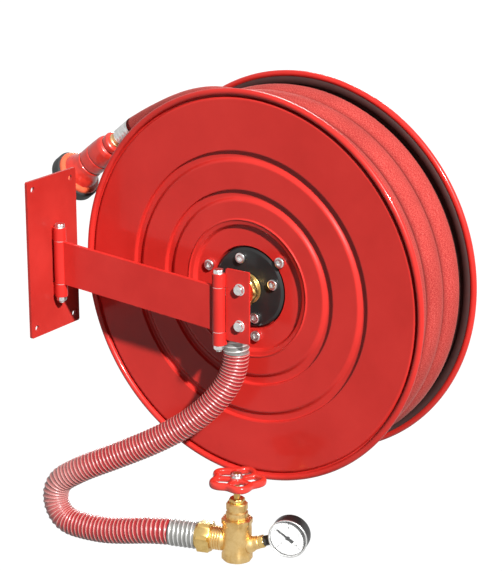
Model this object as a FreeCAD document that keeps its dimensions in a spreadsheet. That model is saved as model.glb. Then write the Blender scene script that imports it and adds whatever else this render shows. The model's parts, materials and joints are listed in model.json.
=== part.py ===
import FreeCAD, Part
import math
import os

import Sketcher

# Swinging fire hose reel, in millimetres.
# +X points away from the wall, +Y along the drum's axis from its front disc to its rear
# disc, +Z up. The origin is the centre of the wall plate's back face.

Vector = FreeCAD.Vector
Rotation = FreeCAD.Rotation

SIZES = {
    # wall plate
    "plate_width": 106, "plate_height": 228, "plate_thick": 4, "plate_round": 3,
    "fixing_gap_y": 82, "fixing_gap_z": 202, "fixing_radius": 4,
    # the two hinges of the arm
    "hinge_x": 16, "hinge_z": -10.8, "hub_hinge_x": 289, "hub_hinge_z": -30,
    "barrel_radius": 9, "barrel_mid": 62, "barrel_end": 18.4, "barrel_gap": 1,
    "pin_radius": 4, "pin_play": 0.05, "hex_radius": 7.5, "head_height": 5.5,
    "nut_height": 6.5, "pin_tail": 3, "hinge_washer_radius": 8.6, "hinge_washer_thick": 0.8,
    "lug_thick": 8, "arm_thick": 6,
    # bracket plate at the hub
    "bracket_left": 298.4, "bracket_right": 336, "bracket_front": 3, "bracket_thick": 3,
    "bracket_top": 28, "bracket_low": -73, "bracket_round": 2,
    "bracket_bolt_x": 321, "bracket_bolt_gap": 51, "bracket_bolt_z": -23.5,
    # waterway through the hub
    "elbow_y": 25, "elbow_radius": 14, "elbow_bore": 10, "elbow_bend": 16,
    "elbow_low": -74.5, "pad_deep": 10, "pad_height": 68, "pad_end": 329, "bolt_seat": 8,
    "spigot_radius": 12.5, "neck_radius": 15, "neck_long": 5, "elbow_face": 47,
    "swivel_hex": 23.5, "swivel_long": 7, "axle_radius": 16.5, "axle_bore": 11,
    "axle_end": 203, "axle_plug": 20, "port_radius": 5,
    # drum
    "drum_x": 300, "drum_z": -12.5, "drum_front": 50, "drum_width": 145,
    "disc_radius": 275, "sheet_thick": 1.5, "bead_radius": 5.5,
    "groove_deep": 5, "groove_slope": 3,
    "ring_one_out": 190, "ring_one_in": 173, "ring_two_out": 137, "ring_two_in": 121,
    "ridge_radius": 96, "ridge_high": 1.5, "step_out": 90, "step_in": 86, "floor_deep": 6,
    "well_out": 58.8, "well_in": 56.8, "recess_deep": 14, "disc_hole": 24, "core_radius": 102,
    "flange_radius": 56, "flange_thick": 9, "flange_bore": 17.5, "flange_chamfer": 1.5,
    "flange_pitch": 42.5, "flange_turn": 16, "tie_pitch": 68, "tie_turn": 41,
    "screw_radius": 4, "cap_radius": 7.4, "cap_height": 5, "socket_radius": 3.5,
    "socket_deep": 2.6, "screw_long": 15, "spacer_radius": 9, "spacer_bore": 4.3,
    "spool_radius": 28, "spool_bore": 21, "spool_flange": 52, "spool_flange_thick": 6,
    "bush_long": 20, "bush_play": 0.05, "seal_long": 6, "outlet_radius": 15, "outlet_bore": 10,
    "end_washer_radius": 28, "end_washer_thick": 1, "end_gap": 0.3, "end_nut_hex": 26.5,
    "end_nut_long": 10,
    # wound hose and its free end
    "coil_in": 103.5, "coil_out": 260, "coil_step": 192, "coil_edge": 2.5, "coil_inset": 7.5,
    "tail_radius": 13, "nozzle_x": 65.4, "nozzle_y": 110, "nozzle_z": 169.7,
    "nozzle_slope": 39.1, "tail_ferrule_radius": 13.3, "tail_ferrule_long": 30,
    "tail_spigot": 9, "nozzle_bore": 7, "coupling_radius": 12, "coupling_long": 11,
    "nozzle_collar": 17, "nozzle_collar_long": 12, "nozzle_taper": 3, "nozzle_radius": 21,
    "nozzle_long": 48, "nozzle_neck": 13, "nozzle_neck_long": 14, "nozzle_play": 0.06,
    "tip_long": 50, "tip_flare": 6, "tip_rim": 33, "tip_rim_at": 20, "tip_rim_end": 30,
    "bumper_seat": 28, "mouth_radius": 12, "throat_radius": 9,
    "bumper_radius": 37, "bumper_long": 18, "bumper_at": 30,
    # feed hose
    "feed_radius": 18.6, "feed_ferrule_radius": 18.2, "feed_ferrule_long": 22,
    "low_ferrule_radius": 19.3, "low_ferrule_long": 38,
    # angle valve
    "valve_x": 336, "valve_y": -26, "valve_z": -374.5, "valve_turn": 17,
    "body_radius": 21.6, "body_flat": 20.2, "body_high": 61, "thread_radius": 15.15,
    "thread_deep": 13, "seat_radius": 8.5, "seat_thick": 3, "chamber_radius": 14,
    "inlet_high": 26.5, "inlet_radius": 16.5, "inlet_bore": 8, "inlet_reach": 36,
    "union_hex": 23.3, "union_long": 22, "union_bore": 15,
    "gauge_high": 17, "gauge_slope": 20, "boss_radius": 9, "boss_reach": 42, "boss_bore": 2.5,
    "bonnet_hex": 14.6, "bonnet_high": 23, "bonnet_plug": 11, "bonnet_bore": 9,
    "bonnet_roof": 8, "gland_hex": 11.5, "gland_high": 6, "packing_radius": 8,
    "packing_high": 6, "stem_radius": 4.5, "stem_play": 0.05,
    "plug_radius": 11, "plug_high": 4, "guide_radius": 7, "guide_high": 6, "guide_play": 0.1,
    "washer_high": 2, "washer_bore": 3, "plug_gap": 0.05,
    "stem_collar_low": 50, "stem_collar_long": 8, "stem_top": 127,
    "wheel_low": 111, "wheel_thick": 10.5, "wheel_radius": 34, "lobe_radius": 10,
    "lobe_pitch": 30.5, "wheel_hole": 7.5, "wheel_hole_pitch": 20.5, "wheel_nut_high": 5,
    # pressure gauge
    "adapter_hex": 7.5, "gauge_radius": 27, "gauge_centre": 80,
    "case_front": 9, "case_back": 11, "case_wall": 1.5, "bezel_out": 27.8, "bezel_in": 24,
    "bezel_front": 13, "glass_front": 12, "glass_thick": 1.4, "dial_front": 7.5,
    "dial_thick": 0.8, "needle_front": 9.6, "needle_thick": 0.8, "needle_long": 19,
    "needle_tail": 9, "needle_half": 0.9, "needle_hub": 2.6, "needle_turn": 145,
}

LOBES = 5
TIES = 3
FLANGE_SCREWS = 4
AXLE_PORTS = 4

# Control points of the feed hose's middle, from the hub elbow's ferrule to the valve's.
FEED_ROUTE = [
    (300, 25, -96.5), (299, 24, -122), (285, 13, -157), (253, -4, -195),
    (204, -23, -230), (146, -43, -261), (100, -58, -284), (79, -62.5, -297),
    (60.5, -66.5, -309.5), (52, -69, -325.4), (52.3, -70.5, -343.4), (61.3, -72, -359),
    (76.8, -72.5, -368.3), (103, -72, -369.2), (142, -69.5, -367), (181, -64.5, -359),
    (214, -60.5, -351), (244.2, -54.1, -348),
]

# Control points of the hose's free end, from the winding to the nozzle's ferrule.
TAIL_ROUTE = [
    (291, 77, 238), (233, 80, 241.5), (190, 86, 231.5), (150, 94, 215.5),
    (110, 103, 195.5), (85, 107.5, 181.7), (65.4, 110, 169.7),
]

doc = FreeCAD.newDocument("FireHoseReel")
sheet = doc.addObject("Spreadsheet::Sheet", "dims")
for line, (alias, number) in enumerate(SIZES.items(), 1):
    sheet.set(f"A{line}", alias)
    sheet.set(f"B{line}", str(number))
    sheet.setAlias(f"B{line}", alias)
doc.recompute()

sub_parts = []


class Size:
    """A number together with the spreadsheet expression that gives it."""

    def __init__(self, number, text):
        self.number = number
        self.text = text

    def joined(self, other, sign, number):
        return Size(number, f"({self.text} {sign} {other.text})")

    def __add__(self, other):
        other = sized(other)
        return self.joined(other, "+", self.number + other.number)

    def __sub__(self, other):
        other = sized(other)
        return self.joined(other, "-", self.number - other.number)

    def __mul__(self, other):
        other = sized(other)
        return self.joined(other, "*", self.number * other.number)

    def __truediv__(self, other):
        other = sized(other)
        return self.joined(other, "/", self.number / other.number)

    def __neg__(self):
        return Size(-self.number, f"(0 - {self.text})")


class Dims:
    """The spreadsheet's cells by alias, as sizes."""

    def __getattr__(self, alias):
        return Size(SIZES[alias], f"dims.{alias}")


def sized(value):
    return value if isinstance(value, Size) else Size(value, str(value))


d = Dims()
UPRIGHT = Rotation()
TO_REAR = Rotation(Vector(1, 0, 0), -90)
TO_FRONT = Rotation(Vector(1, 0, 0), 90)
NOZZLE_WAY = Rotation(Vector(0, 1, 0), -90 - d.nozzle_slope.number)
VALVE_WAY = Rotation(Vector(0, 0, 1), d.valve_turn.number)
INLET_WAY = VALVE_WAY * Rotation(Vector(0, 1, 0), -90)
GAUGE_WAY = VALVE_WAY * Rotation(Vector(0, 1, 0), 90 - d.gauge_slope.number)
DIAL_WAY = VALVE_WAY * TO_FRONT


def bind(thing, **sizes):
    """Ties properties of a document object to the spreadsheet."""
    for name, value in sizes.items():
        thing.setExpression(name.replace("__", "."), sized(value).text)
    return thing


def put(thing, x=0, y=0, z=0, way=UPRIGHT):
    """Places an object at sizes x, y, z, turned by a rotation."""
    x, y, z = sized(x), sized(y), sized(z)
    thing.Placement = FreeCAD.Placement(Vector(x.number, y.number, z.number), way)
    return bind(thing, Placement__Base__x=x, Placement__Base__y=y, Placement__Base__z=z)


def node(thing, name):
    """Makes an object a sub-part under its own name."""
    thing.Label = name
    sub_parts.append(thing)
    return thing


def cylinder(radius, length, x=0, y=0, z=0, way=UPRIGHT):
    thing = doc.addObject("Part::Cylinder", "cylinder")
    bind(thing, Radius=radius, Height=length)
    return put(thing, x, y, z, way)


def prism(radius, length, x=0, y=0, z=0, way=UPRIGHT, sides=6):
    """A hexagonal or other regular bar; radius is to its corners."""
    thing = doc.addObject("Part::Prism", "prism")
    thing.Polygon = sides
    bind(thing, Circumradius=radius, Height=length)
    return put(thing, x, y, z, way)


def box(length, width, height, x=0, y=0, z=0, way=UPRIGHT):
    thing = doc.addObject("Part::Box", "box")
    bind(thing, Length=length, Width=width, Height=height)
    return put(thing, x, y, z, way)


def ball(radius, x=0, y=0, z=0):
    thing = doc.addObject("Part::Sphere", "ball")
    bind(thing, Radius=radius)
    return put(thing, x, y, z)


def fuse(*things):
    whole = doc.addObject("Part::MultiFuse", "fuse")
    whole.Shapes = list(things)
    return whole


def cut(base, *tools):
    rest = doc.addObject("Part::Cut", "cut")
    rest.Base = base
    rest.Tool = tools[0] if len(tools) == 1 else fuse(*tools)
    return rest


def common(*things):
    shared = doc.addObject("Part::MultiCommon", "common")
    shared.Shapes = list(things)
    return shared


def group(*things):
    """Several separate solids as one sub-part."""
    together = doc.addObject("Part::Compound", "group")
    together.Links = list(things)
    return together


def origin_part(body, role):
    return next(f for f in body.Origin.OriginFeatures if f.Role == role)


def new_sketch(body, plane, lift=None):
    outline = body.newObject("Sketcher::SketchObject", "outline")
    outline.AttachmentSupport = (origin_part(body, plane), [""])
    outline.MapMode = "FlatFace"
    if lift is not None:
        bind(outline, AttachmentOffset__Base__z=lift)
    return outline


def fix_point(outline, edge, place, x, y):
    """Holds a sketch point at sizes x and y from the sketch's origin."""
    for kind, value, axis in (("DistanceX", x, -2), ("DistanceY", y, -1)):
        if value.number == 0:
            outline.addConstraint(Sketcher.Constraint("PointOnObject", edge, place, axis))
        else:
            limits = (kind, -1, 1, edge, place, value.number)
            held = outline.addConstraint(Sketcher.Constraint(*limits))
            outline.setExpression(f"Constraints[{held}]", value.text)


def draw_polygon(outline, points):
    """A closed outline of straight lines, every corner held by the spreadsheet."""
    corners = [(sized(x), sized(y)) for x, y in points]
    for (ax, ay), (bx, by) in zip(corners, corners[1:] + corners[:1]):
        start, end = Vector(ax.number, ay.number, 0), Vector(bx.number, by.number, 0)
        outline.addGeometry(Part.LineSegment(start, end), False)
    for edge, (x, y) in enumerate(corners):
        before = (edge - 1) % len(corners)
        outline.addConstraint(Sketcher.Constraint("Coincident", before, 2, edge, 1))
        fix_point(outline, edge, 1, x, y)


def draw_circle(outline, x, y, radius):
    x, y, radius = sized(x), sized(y), sized(radius)
    centre = Vector(x.number, y.number, 0)
    ring = outline.addGeometry(Part.Circle(centre, Vector(0, 0, 1), radius.number), False)
    held = outline.addConstraint(Sketcher.Constraint("Radius", ring, radius.number))
    outline.setExpression(f"Constraints[{held}]", radius.text)
    fix_point(outline, ring, 3, x, y)


def spin(body, outline):
    """Revolves a sketch on the XZ plane about the body's Z axis."""
    turn = body.newObject("PartDesign::Revolution", "spin")
    turn.Profile = outline
    turn.ReferenceAxis = (outline, ["V_Axis"])
    turn.Angle = 360
    outline.Visibility = False
    return turn


def turned(points):
    """A turned piece: its half section's corners as (radius, height)."""
    body = doc.addObject("PartDesign::Body", "turned")
    outline = new_sketch(body, "XZ_Plane")
    draw_polygon(outline, points)
    spin(body, outline)
    return body


def ring(outer, inner, length):
    return turned([(inner, 0), (outer, 0), (outer, length), (inner, length)])


def padded(plane, points, thick):
    """A flat piece: a polygon padded along the plane's normal."""
    body = doc.addObject("PartDesign::Body", "plate")
    outline = new_sketch(body, plane)
    draw_polygon(outline, points)
    pad = body.newObject("PartDesign::Pad", "pad")
    pad.Profile = outline
    bind(pad, Length=thick)
    return body, pad


def drill(body, plane, x, y, radius):
    """A round hole through the whole body, square to one of its origin planes."""
    outline = new_sketch(body, plane)
    draw_circle(outline, x, y, radius)
    pocket = body.newObject("PartDesign::Pocket", "hole")
    pocket.Profile = outline
    pocket.Type = "ThroughAll"
    pocket.Midplane = True
    return pocket


def repeat(body, feature, count):
    """Repeats a feature round the body's Z axis."""
    pattern = body.newObject("PartDesign::PolarPattern", "pattern")
    pattern.Originals = [feature]
    pattern.Axis = (origin_part(body, "Z_Axis"), [""])
    pattern.Angle = 360
    pattern.Occurrences = count
    body.Tip = pattern
    return pattern


def polar(pitch, degrees):
    """A place on a pitch circle, as two sizes."""
    turn = math.radians(degrees)
    return sized(pitch) * round(math.cos(turn), 6), sized(pitch) * round(math.sin(turn), 6)


def round_edges(body, feature, radius, along):
    """Fillets a pad's edges that run along one direction."""
    doc.recompute()
    names = []
    for number, edge in enumerate(feature.Shape.Edges, 1):
        if edge.Curve.TypeId == "Part::GeomLine":
            way = edge.tangentAt(edge.FirstParameter)
            if abs(abs(way.dot(along)) - 1) < 1e-6:
                names.append(f"Edge{number}")
    fillet = body.newObject("PartDesign::Fillet", "fillet")
    fillet.Base = (feature, names)
    bind(fillet, Radius=radius)
    return fillet


# ---- wall plate -------------------------------------------------------------------------

def wall_plate():
    half_y, half_z = d.plate_width / 2, d.plate_height / 2
    corners = [(-half_y, -half_z), (half_y, -half_z), (half_y, half_z), (-half_y, half_z)]
    body, pad = padded("YZ_Plane", corners, d.plate_thick)
    round_edges(body, pad, d.plate_round, Vector(1, 0, 0))
    for side in (-1, 1):
        for end in (-1, 1):
            drill(body, "YZ_Plane", d.fixing_gap_y / 2 * side, d.fixing_gap_z / 2 * end,
                  d.fixing_radius)
    node(body, "wall_plate")


# ---- hinges -----------------------------------------------------------------------------

def hinge_levels(middle):
    """Heights of a hinge: low end, top of the low knuckle, middle barrel's low end."""
    mid_low = middle - d.barrel_mid / 2
    low_top = mid_low - d.barrel_gap
    return low_top - d.barrel_end, low_top, mid_low


def end_knuckles(name, x, middle, lug_x, lug_y, lug_long, lug_wide):
    """The two outer knuckles of a hinge, each with the lug that it is welded on by."""
    low, _, mid_low = hinge_levels(middle)
    upper = mid_low + d.barrel_mid + d.barrel_gap
    knuckles = []
    for level in (low, upper):
        barrel = cylinder(d.barrel_radius, d.barrel_end, x, 0, level)
        lug = box(lug_long, lug_wide, d.barrel_end, lug_x, lug_y, level)
        bore = cylinder(d.pin_radius + d.pin_play, d.barrel_end, x, 0, level)
        knuckles.append(cut(fuse(barrel, lug), bore))
    node(group(*knuckles), name)


def hinge_pin(name, x, middle):
    """Hinge bolt, its nut, and the two thin washers between the knuckles."""
    low, low_top, mid_low = hinge_levels(middle)
    top = mid_low + d.barrel_mid + d.barrel_gap + d.barrel_end
    shank_low = low - d.nut_height - d.pin_tail
    shank = cylinder(d.pin_radius, top - shank_low, x, 0, shank_low)
    head = prism(d.hex_radius, d.head_height, x, 0, top)
    node(fuse(shank, head), f"{name}_bolt")
    nut = prism(d.hex_radius, d.nut_height, x, 0, low - d.nut_height)
    hole = cylinder(d.pin_radius, d.nut_height, x, 0, low - d.nut_height)
    node(cut(nut, hole), f"{name}_nut")
    side_gap = (d.barrel_gap - d.hinge_washer_thick) / 2
    washers = []
    for level in (low_top + side_gap, mid_low + d.barrel_mid + side_gap):
        washer = ring(d.hinge_washer_radius, d.pin_radius + d.pin_play, d.hinge_washer_thick)
        washers.append(put(washer, x, 0, level))
    node(group(*washers), f"{name}_washers")


def arm():
    half = d.barrel_mid / 2
    corners = [(d.hinge_x, d.hinge_z - half), (d.hub_hinge_x, d.hub_hinge_z - half),
               (d.hub_hinge_x, d.hub_hinge_z + half), (d.hinge_x, d.hinge_z + half)]
    body, pad = padded("XZ_Plane", corners, d.arm_thick)
    pad.Midplane = True
    ends = ((d.hinge_x, d.hinge_z), (d.hub_hinge_x, d.hub_hinge_z))
    tall = d.barrel_mid * 2
    rounds = [cylinder(d.barrel_radius, tall, x, 0, z - d.barrel_mid) for x, z in ends]
    node(cut(body, *rounds), "arm_bar")
    barrels = []
    for x, z in ends:
        barrel = ring(d.barrel_radius, d.pin_radius + d.pin_play, d.barrel_mid)
        barrels.append(put(barrel, x, 0, z - half))
    node(group(*barrels), "arm_barrels")


# ---- bracket at the hub -----------------------------------------------------------------

def bracket_bolt_levels():
    return [d.bracket_bolt_z + d.bracket_bolt_gap / 2 * side for side in (-1, 1)]


def bracket_plate():
    left = d.bracket_left
    corners = [(left, d.bracket_low), (d.bracket_right, d.bracket_low),
               (d.bracket_right, d.bracket_top), (left, d.bracket_top)]
    body, pad = padded("XZ_Plane", corners, d.bracket_thick)
    round_edges(body, pad, d.bracket_round, Vector(0, 1, 0))
    for level in bracket_bolt_levels():
        drill(body, "XZ_Plane", d.bracket_bolt_x, level, d.screw_radius)
    put(body, 0, d.bracket_front + d.bracket_thick, 0)
    node(body, "bracket_plate")


def bracket_bolts():
    bolts = []
    for level in bracket_bolt_levels():
        head = prism(d.hex_radius, d.head_height, d.bracket_bolt_x,
                     d.bracket_front - d.head_height, level, TO_REAR)
        shank = cylinder(d.screw_radius, d.bracket_thick + d.bolt_seat, d.bracket_bolt_x,
                         d.bracket_front, level, TO_REAR)
        bolts.append(fuse(head, shank))
    node(group(*bolts), "bracket_bolts")


def torus_bend(tube, bend):
    """Quarter turn from a vertical leg to a horizontal one along +Y."""
    turn = doc.addObject("Part::Torus", "bend")
    turn.Angle3 = 90
    bind(turn, Radius1=bend, Radius2=tube)
    way = Rotation(Vector(0, -1, 0), Vector(0, 0, 1), Vector(-1, 0, 0), "XYZ")
    return put(turn, d.drum_x, d.elbow_y + bend, d.drum_z - bend, way)


def waterway_elbow():
    """Cast elbow: down to the feed hose, along the drum's axis to the swivel."""
    plate_back = d.bracket_front + d.bracket_thick
    x, y, bend = d.drum_x, d.elbow_y, d.elbow_bend
    leg_top, spigot_low = d.drum_z - bend, d.elbow_low - d.feed_ferrule_long
    neck_at = d.elbow_face - d.neck_long
    outside = [
        cylinder(d.elbow_radius, leg_top - d.elbow_low, x, y, d.elbow_low),
        torus_bend(d.elbow_radius, bend),
        cylinder(d.elbow_radius, neck_at - y - bend, x, y + bend, d.drum_z, TO_REAR),
        cylinder(d.neck_radius, d.neck_long, x, neck_at, d.drum_z, TO_REAR),
        cylinder(d.spigot_radius, d.feed_ferrule_long, x, y, spigot_low),
        box(d.pad_end - x, d.pad_deep, d.pad_height, x, plate_back,
            d.bracket_bolt_z - d.pad_height / 2)]
    inside = [
        cylinder(d.elbow_bore, leg_top - spigot_low, x, y, spigot_low),
        torus_bend(d.elbow_bore, bend),
        cylinder(d.elbow_bore, d.elbow_face - y - bend, x, y + bend, d.drum_z, TO_REAR)]
    holes = [cylinder(d.screw_radius, d.bolt_seat, d.bracket_bolt_x, plate_back, level,
                      TO_REAR) for level in bracket_bolt_levels()]
    node(cut(fuse(*outside), *inside, *holes), "waterway_elbow")


def swivel_nut():
    """Nut that joins the elbow's neck to the axle; its bore has a step."""
    start = d.elbow_face - d.neck_long
    nut = prism(d.swivel_hex, d.neck_long + d.swivel_long, d.drum_x, start, d.drum_z, TO_REAR)
    neck = cylinder(d.neck_radius, d.neck_long, d.drum_x, start, d.drum_z, TO_REAR)
    axle = cylinder(d.axle_radius, d.swivel_long, d.drum_x, d.elbow_face, d.drum_z, TO_REAR)
    node(cut(nut, neck, axle), "swivel_nut")


def axle_tube():
    """Hollow axle that carries the drum and the water; plugged at its rear end."""
    long = d.axle_end - d.elbow_face
    tube = turned([(d.axle_bore, 0), (d.axle_radius, 0), (d.axle_radius, long), (0, long),
                   (0, long - d.axle_plug), (d.axle_bore, long - d.axle_plug)])
    outline = new_sketch(tube, "XZ_Plane")
    draw_circle(outline, 0, drum_level("middle") - d.elbow_face, d.port_radius)
    port = tube.newObject("PartDesign::Pocket", "port")
    port.Profile = outline
    bind(port, Length=d.axle_radius)
    repeat(tube, port, AXLE_PORTS)
    put(tube, d.drum_x, d.elbow_face, d.drum_z, TO_REAR)
    node(tube, "axle_tube")


def axle_end():
    start = drum_level("rear_flange") + d.end_gap
    washer = ring(d.end_washer_radius, d.axle_radius, d.end_washer_thick)
    node(put(washer, d.drum_x, start, d.drum_z, TO_REAR), "axle_washer")
    nut_at = start + d.end_washer_thick
    nut = prism(d.end_nut_hex, d.end_nut_long, d.drum_x, nut_at, d.drum_z, TO_REAR)
    bore = cylinder(d.axle_radius, d.end_nut_long, d.drum_x, nut_at, d.drum_z, TO_REAR)
    node(cut(nut, bore), "axle_nut")


# ---- drum -------------------------------------------------------------------------------

def drum_level(name):
    """Places along the drum's axis."""
    rear = d.drum_front + d.drum_width
    return {
        "front_flange": d.drum_front + d.recess_deep - d.flange_thick,
        "front_floor": d.drum_front + d.floor_deep,
        "spacer": d.drum_front + d.floor_deep + d.sheet_thick,
        "spool": d.drum_front + d.recess_deep + d.sheet_thick,
        "spool_end": rear - d.recess_deep - d.sheet_thick,
        "spacer_end": rear - d.floor_deep - d.sheet_thick,
        "rear_floor": rear - d.floor_deep,
        "rear_flange": rear - d.recess_deep + d.flange_thick,
        "middle": d.drum_front + d.drum_width / 2,
    }[name]


def disc(name, level, way, side):
    """A pressed disc, drawn from its outer face inwards: rolled rim, two grooves, ridge,
    sunk floor and a deeper well for the hub flange."""
    thick = d.sheet_thick
    slope, deep = d.groove_slope, d.groove_deep
    rim = d.disc_radius - d.bead_radius
    face = [
        (rim, 0), (d.ring_one_out, 0), (d.ring_one_out - slope, deep),
        (d.ring_one_in + slope, deep), (d.ring_one_in, 0), (d.ring_two_out, 0),
        (d.ring_two_out - slope, deep), (d.ring_two_in + slope, deep), (d.ring_two_in, 0),
        (d.ridge_radius + d.ridge_high, 0), (d.ridge_radius, -d.ridge_high),
        (d.ridge_radius - d.ridge_high, 0), (d.step_out, 0), (d.step_in, d.floor_deep),
        (d.well_out, d.floor_deep), (d.well_in, d.recess_deep),
        (d.disc_hole, d.recess_deep)]
    back = [(radius, sized(height) + thick) for radius, height in reversed(face)]
    body = turned(face + back)
    bead = new_sketch(body, "XZ_Plane")
    draw_circle(bead, rim, thick / 2, d.bead_radius)
    spin(body, bead)
    for pitch, turn, count in ((d.flange_pitch, SIZES["flange_turn"], FLANGE_SCREWS),
                               (d.tie_pitch, SIZES["tie_turn"], TIES)):
        hole = drill(body, "XY_Plane", *polar(pitch, turn * side), d.screw_radius)
        repeat(body, hole, count)
    put(body, d.drum_x, level, d.drum_z, way)
    node(body, name)


def hub_flange(name, level, way, side):
    """Black flange that clamps the disc's middle to the spool."""
    edge = d.flange_radius - d.flange_chamfer
    body = turned([(d.flange_bore, 0), (edge, 0), (d.flange_radius, d.flange_chamfer),
                   (d.flange_radius, d.flange_thick), (d.flange_bore, d.flange_thick)])
    hole = drill(body, "XY_Plane", *polar(d.flange_pitch, SIZES["flange_turn"] * side),
                 d.screw_radius)
    repeat(body, hole, FLANGE_SCREWS)
    put(body, d.drum_x, level, d.drum_z, way)
    node(body, name)


def on_pitch(pitch, turn, count):
    """Places round the drum's axis, as pairs of sizes x and z."""
    for index in range(count):
        across, up = polar(pitch, turn + 360 * index / count)
        yield d.drum_x + across, d.drum_z + up


def cap_screw(x, level, z, way, sign, long):
    """A socket-headed screw whose head sits on a face at the given level."""
    head_at = level - d.cap_height * sign
    head = cylinder(d.cap_radius, d.cap_height, x, head_at, z, way)
    shank = cylinder(d.screw_radius, long, x, level, z, way)
    socket = prism(d.socket_radius, d.socket_deep, x, head_at, z, way)
    return cut(fuse(head, shank), socket)


def flange_screws():
    screws = []
    for x, z in on_pitch(d.flange_pitch, SIZES["flange_turn"], FLANGE_SCREWS):
        screws.append(cap_screw(x, drum_level("front_flange"), z, TO_REAR, 1, d.screw_long))
        screws.append(cap_screw(x, drum_level("rear_flange"), z, TO_FRONT, -1, d.screw_long))
    node(group(*screws), "flange_screws")


def tie_rods():
    """Three long bolts with spacer tubes that hold the two discs apart."""
    front, rear = drum_level("front_floor"), drum_level("rear_floor")
    spacer_at, spacer_end = drum_level("spacer"), drum_level("spacer_end")
    bolts, nuts, spacers = [], [], []
    for x, z in on_pitch(d.tie_pitch, SIZES["tie_turn"], TIES):
        long = rear - front + d.nut_height + d.pin_tail
        bolts.append(cap_screw(x, front, z, TO_REAR, 1, long))
        nut = prism(d.hex_radius, d.nut_height, x, rear, z, TO_REAR)
        nuts.append(cut(nut, cylinder(d.screw_radius, d.nut_height, x, rear, z, TO_REAR)))
        spacer = ring(d.spacer_radius, d.spacer_bore, spacer_end - spacer_at)
        spacers.append(put(spacer, x, spacer_at, z, TO_REAR))
    node(group(*bolts), "tie_bolts")
    node(group(*nuts), "tie_nuts")
    node(group(*spacers), "tie_spacers")


def hub_spool():
    """Rotating waterway between the discs, with its bushes and seals."""
    long = d.drum_width - d.recess_deep * 2 - d.sheet_thick * 2
    edge = d.spool_flange_thick
    body = turned([
        (d.spool_bore, 0), (d.spool_flange, 0), (d.spool_flange, edge),
        (d.spool_radius, edge), (d.spool_radius, long - edge),
        (d.spool_flange, long - edge), (d.spool_flange, long), (d.spool_bore, long)])
    hole = drill(body, "XY_Plane", *polar(d.flange_pitch, -SIZES["flange_turn"]),
                 d.screw_radius)
    repeat(body, hole, FLANGE_SCREWS)
    put(body, d.drum_x, drum_level("spool"), d.drum_z, TO_REAR)
    way_out = cylinder(d.outlet_bore, d.spool_radius, d.drum_x, drum_level("middle"),
                       d.drum_z, Rotation(Vector(0, 1, 0), 90))
    node(cut(body, way_out), "hub_spool")
    inner = d.axle_radius + d.bush_play
    spool, spool_end = drum_level("spool"), drum_level("spool_end")
    bushes, seals = [], []
    for bush_at, seal_at in ((spool, spool + d.bush_long),
                             (spool_end - d.bush_long,
                              spool_end - d.bush_long - d.seal_long)):
        bush = ring(d.spool_bore, inner, d.bush_long)
        bushes.append(put(bush, d.drum_x, bush_at, d.drum_z, TO_REAR))
        seal = ring(d.spool_bore, inner, d.seal_long)
        seals.append(put(seal, d.drum_x, seal_at, d.drum_z, TO_REAR))
    node(group(*bushes), "hub_bushes")
    node(group(*seals), "hub_seals")


def drum_core():
    """Sheet cylinder that the hose is wound on, and the outlet that passes through it."""
    level, long = d.drum_front + d.sheet_thick, d.drum_width - d.sheet_thick * 2
    across = Rotation(Vector(0, 1, 0), 90)
    core = ring(d.core_radius, d.core_radius - d.sheet_thick, long)
    put(core, d.drum_x, level, d.drum_z, TO_REAR)
    hole = cylinder(d.outlet_radius, d.coil_in, d.drum_x, drum_level("middle"), d.drum_z,
                    across)
    node(cut(core, hole), "drum_core")
    stub = cylinder(d.outlet_radius, d.coil_in, d.drum_x, drum_level("middle"), d.drum_z,
                    across)
    inside = cylinder(d.coil_in, long, d.drum_x, level, d.drum_z, TO_REAR)
    shaft = cylinder(d.spool_radius, long, d.drum_x, level, d.drum_z, TO_REAR)
    bore = cylinder(d.outlet_bore, d.coil_in * 2, d.drum_x, drum_level("middle"), d.drum_z,
                    across)
    node(cut(common(stub, inside), shaft, bore), "hose_outlet")


# ---- hose -------------------------------------------------------------------------------

def rounded_path(points):
    """Straight runs joined by tangent arcs as large as the runs allow, and their radii."""
    points = [Vector(*point) for point in points]
    edges, radii, last = [], [], points[0]
    for before, corner, after in zip(points, points[1:], points[2:]):
        back, ahead = (before - corner).normalize(), (after - corner).normalize()
        turn = math.pi - back.getAngle(ahead)
        reach = 0.45 * min((before - corner).Length, (after - corner).Length)
        radius = reach / math.tan(turn / 2)
        start, end = corner + back * reach, corner + ahead * reach
        to_middle = (back + ahead).normalize()
        centre = corner + to_middle * math.hypot(radius, reach)
        middle = centre - to_middle * radius
        edges.append(Part.LineSegment(last, start).toShape())
        edges.append(Part.Arc(start, middle, end).toShape())
        radii.append(radius)
        last = end
    edges.append(Part.LineSegment(last, points[-1]).toShape())
    return Part.Wire(edges), radii


def hose_tube(name, route, radius):
    """A plain round tube along a route; prints its arcs and compares its volume."""
    path, radii = rounded_path(route)
    way = Vector(*route[1]) - Vector(*route[0])
    section = Part.Wire([Part.Circle(Vector(*route[0]), way, radius).toShape()])
    tube = path.makePipeShell([section], True, False)
    expected = math.pi * radius ** 2 * path.Length
    print(f"{name}: length {path.Length:.1f}, arc radii", [round(r) for r in radii],
          f"volume over section times length {tube.Volume / expected:.4f}")
    return tube


def feature(shape, name):
    thing = doc.addObject("Part::Feature", name)
    thing.Shape = shape
    thing.Placement = FreeCAD.Placement()
    return thing


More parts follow.
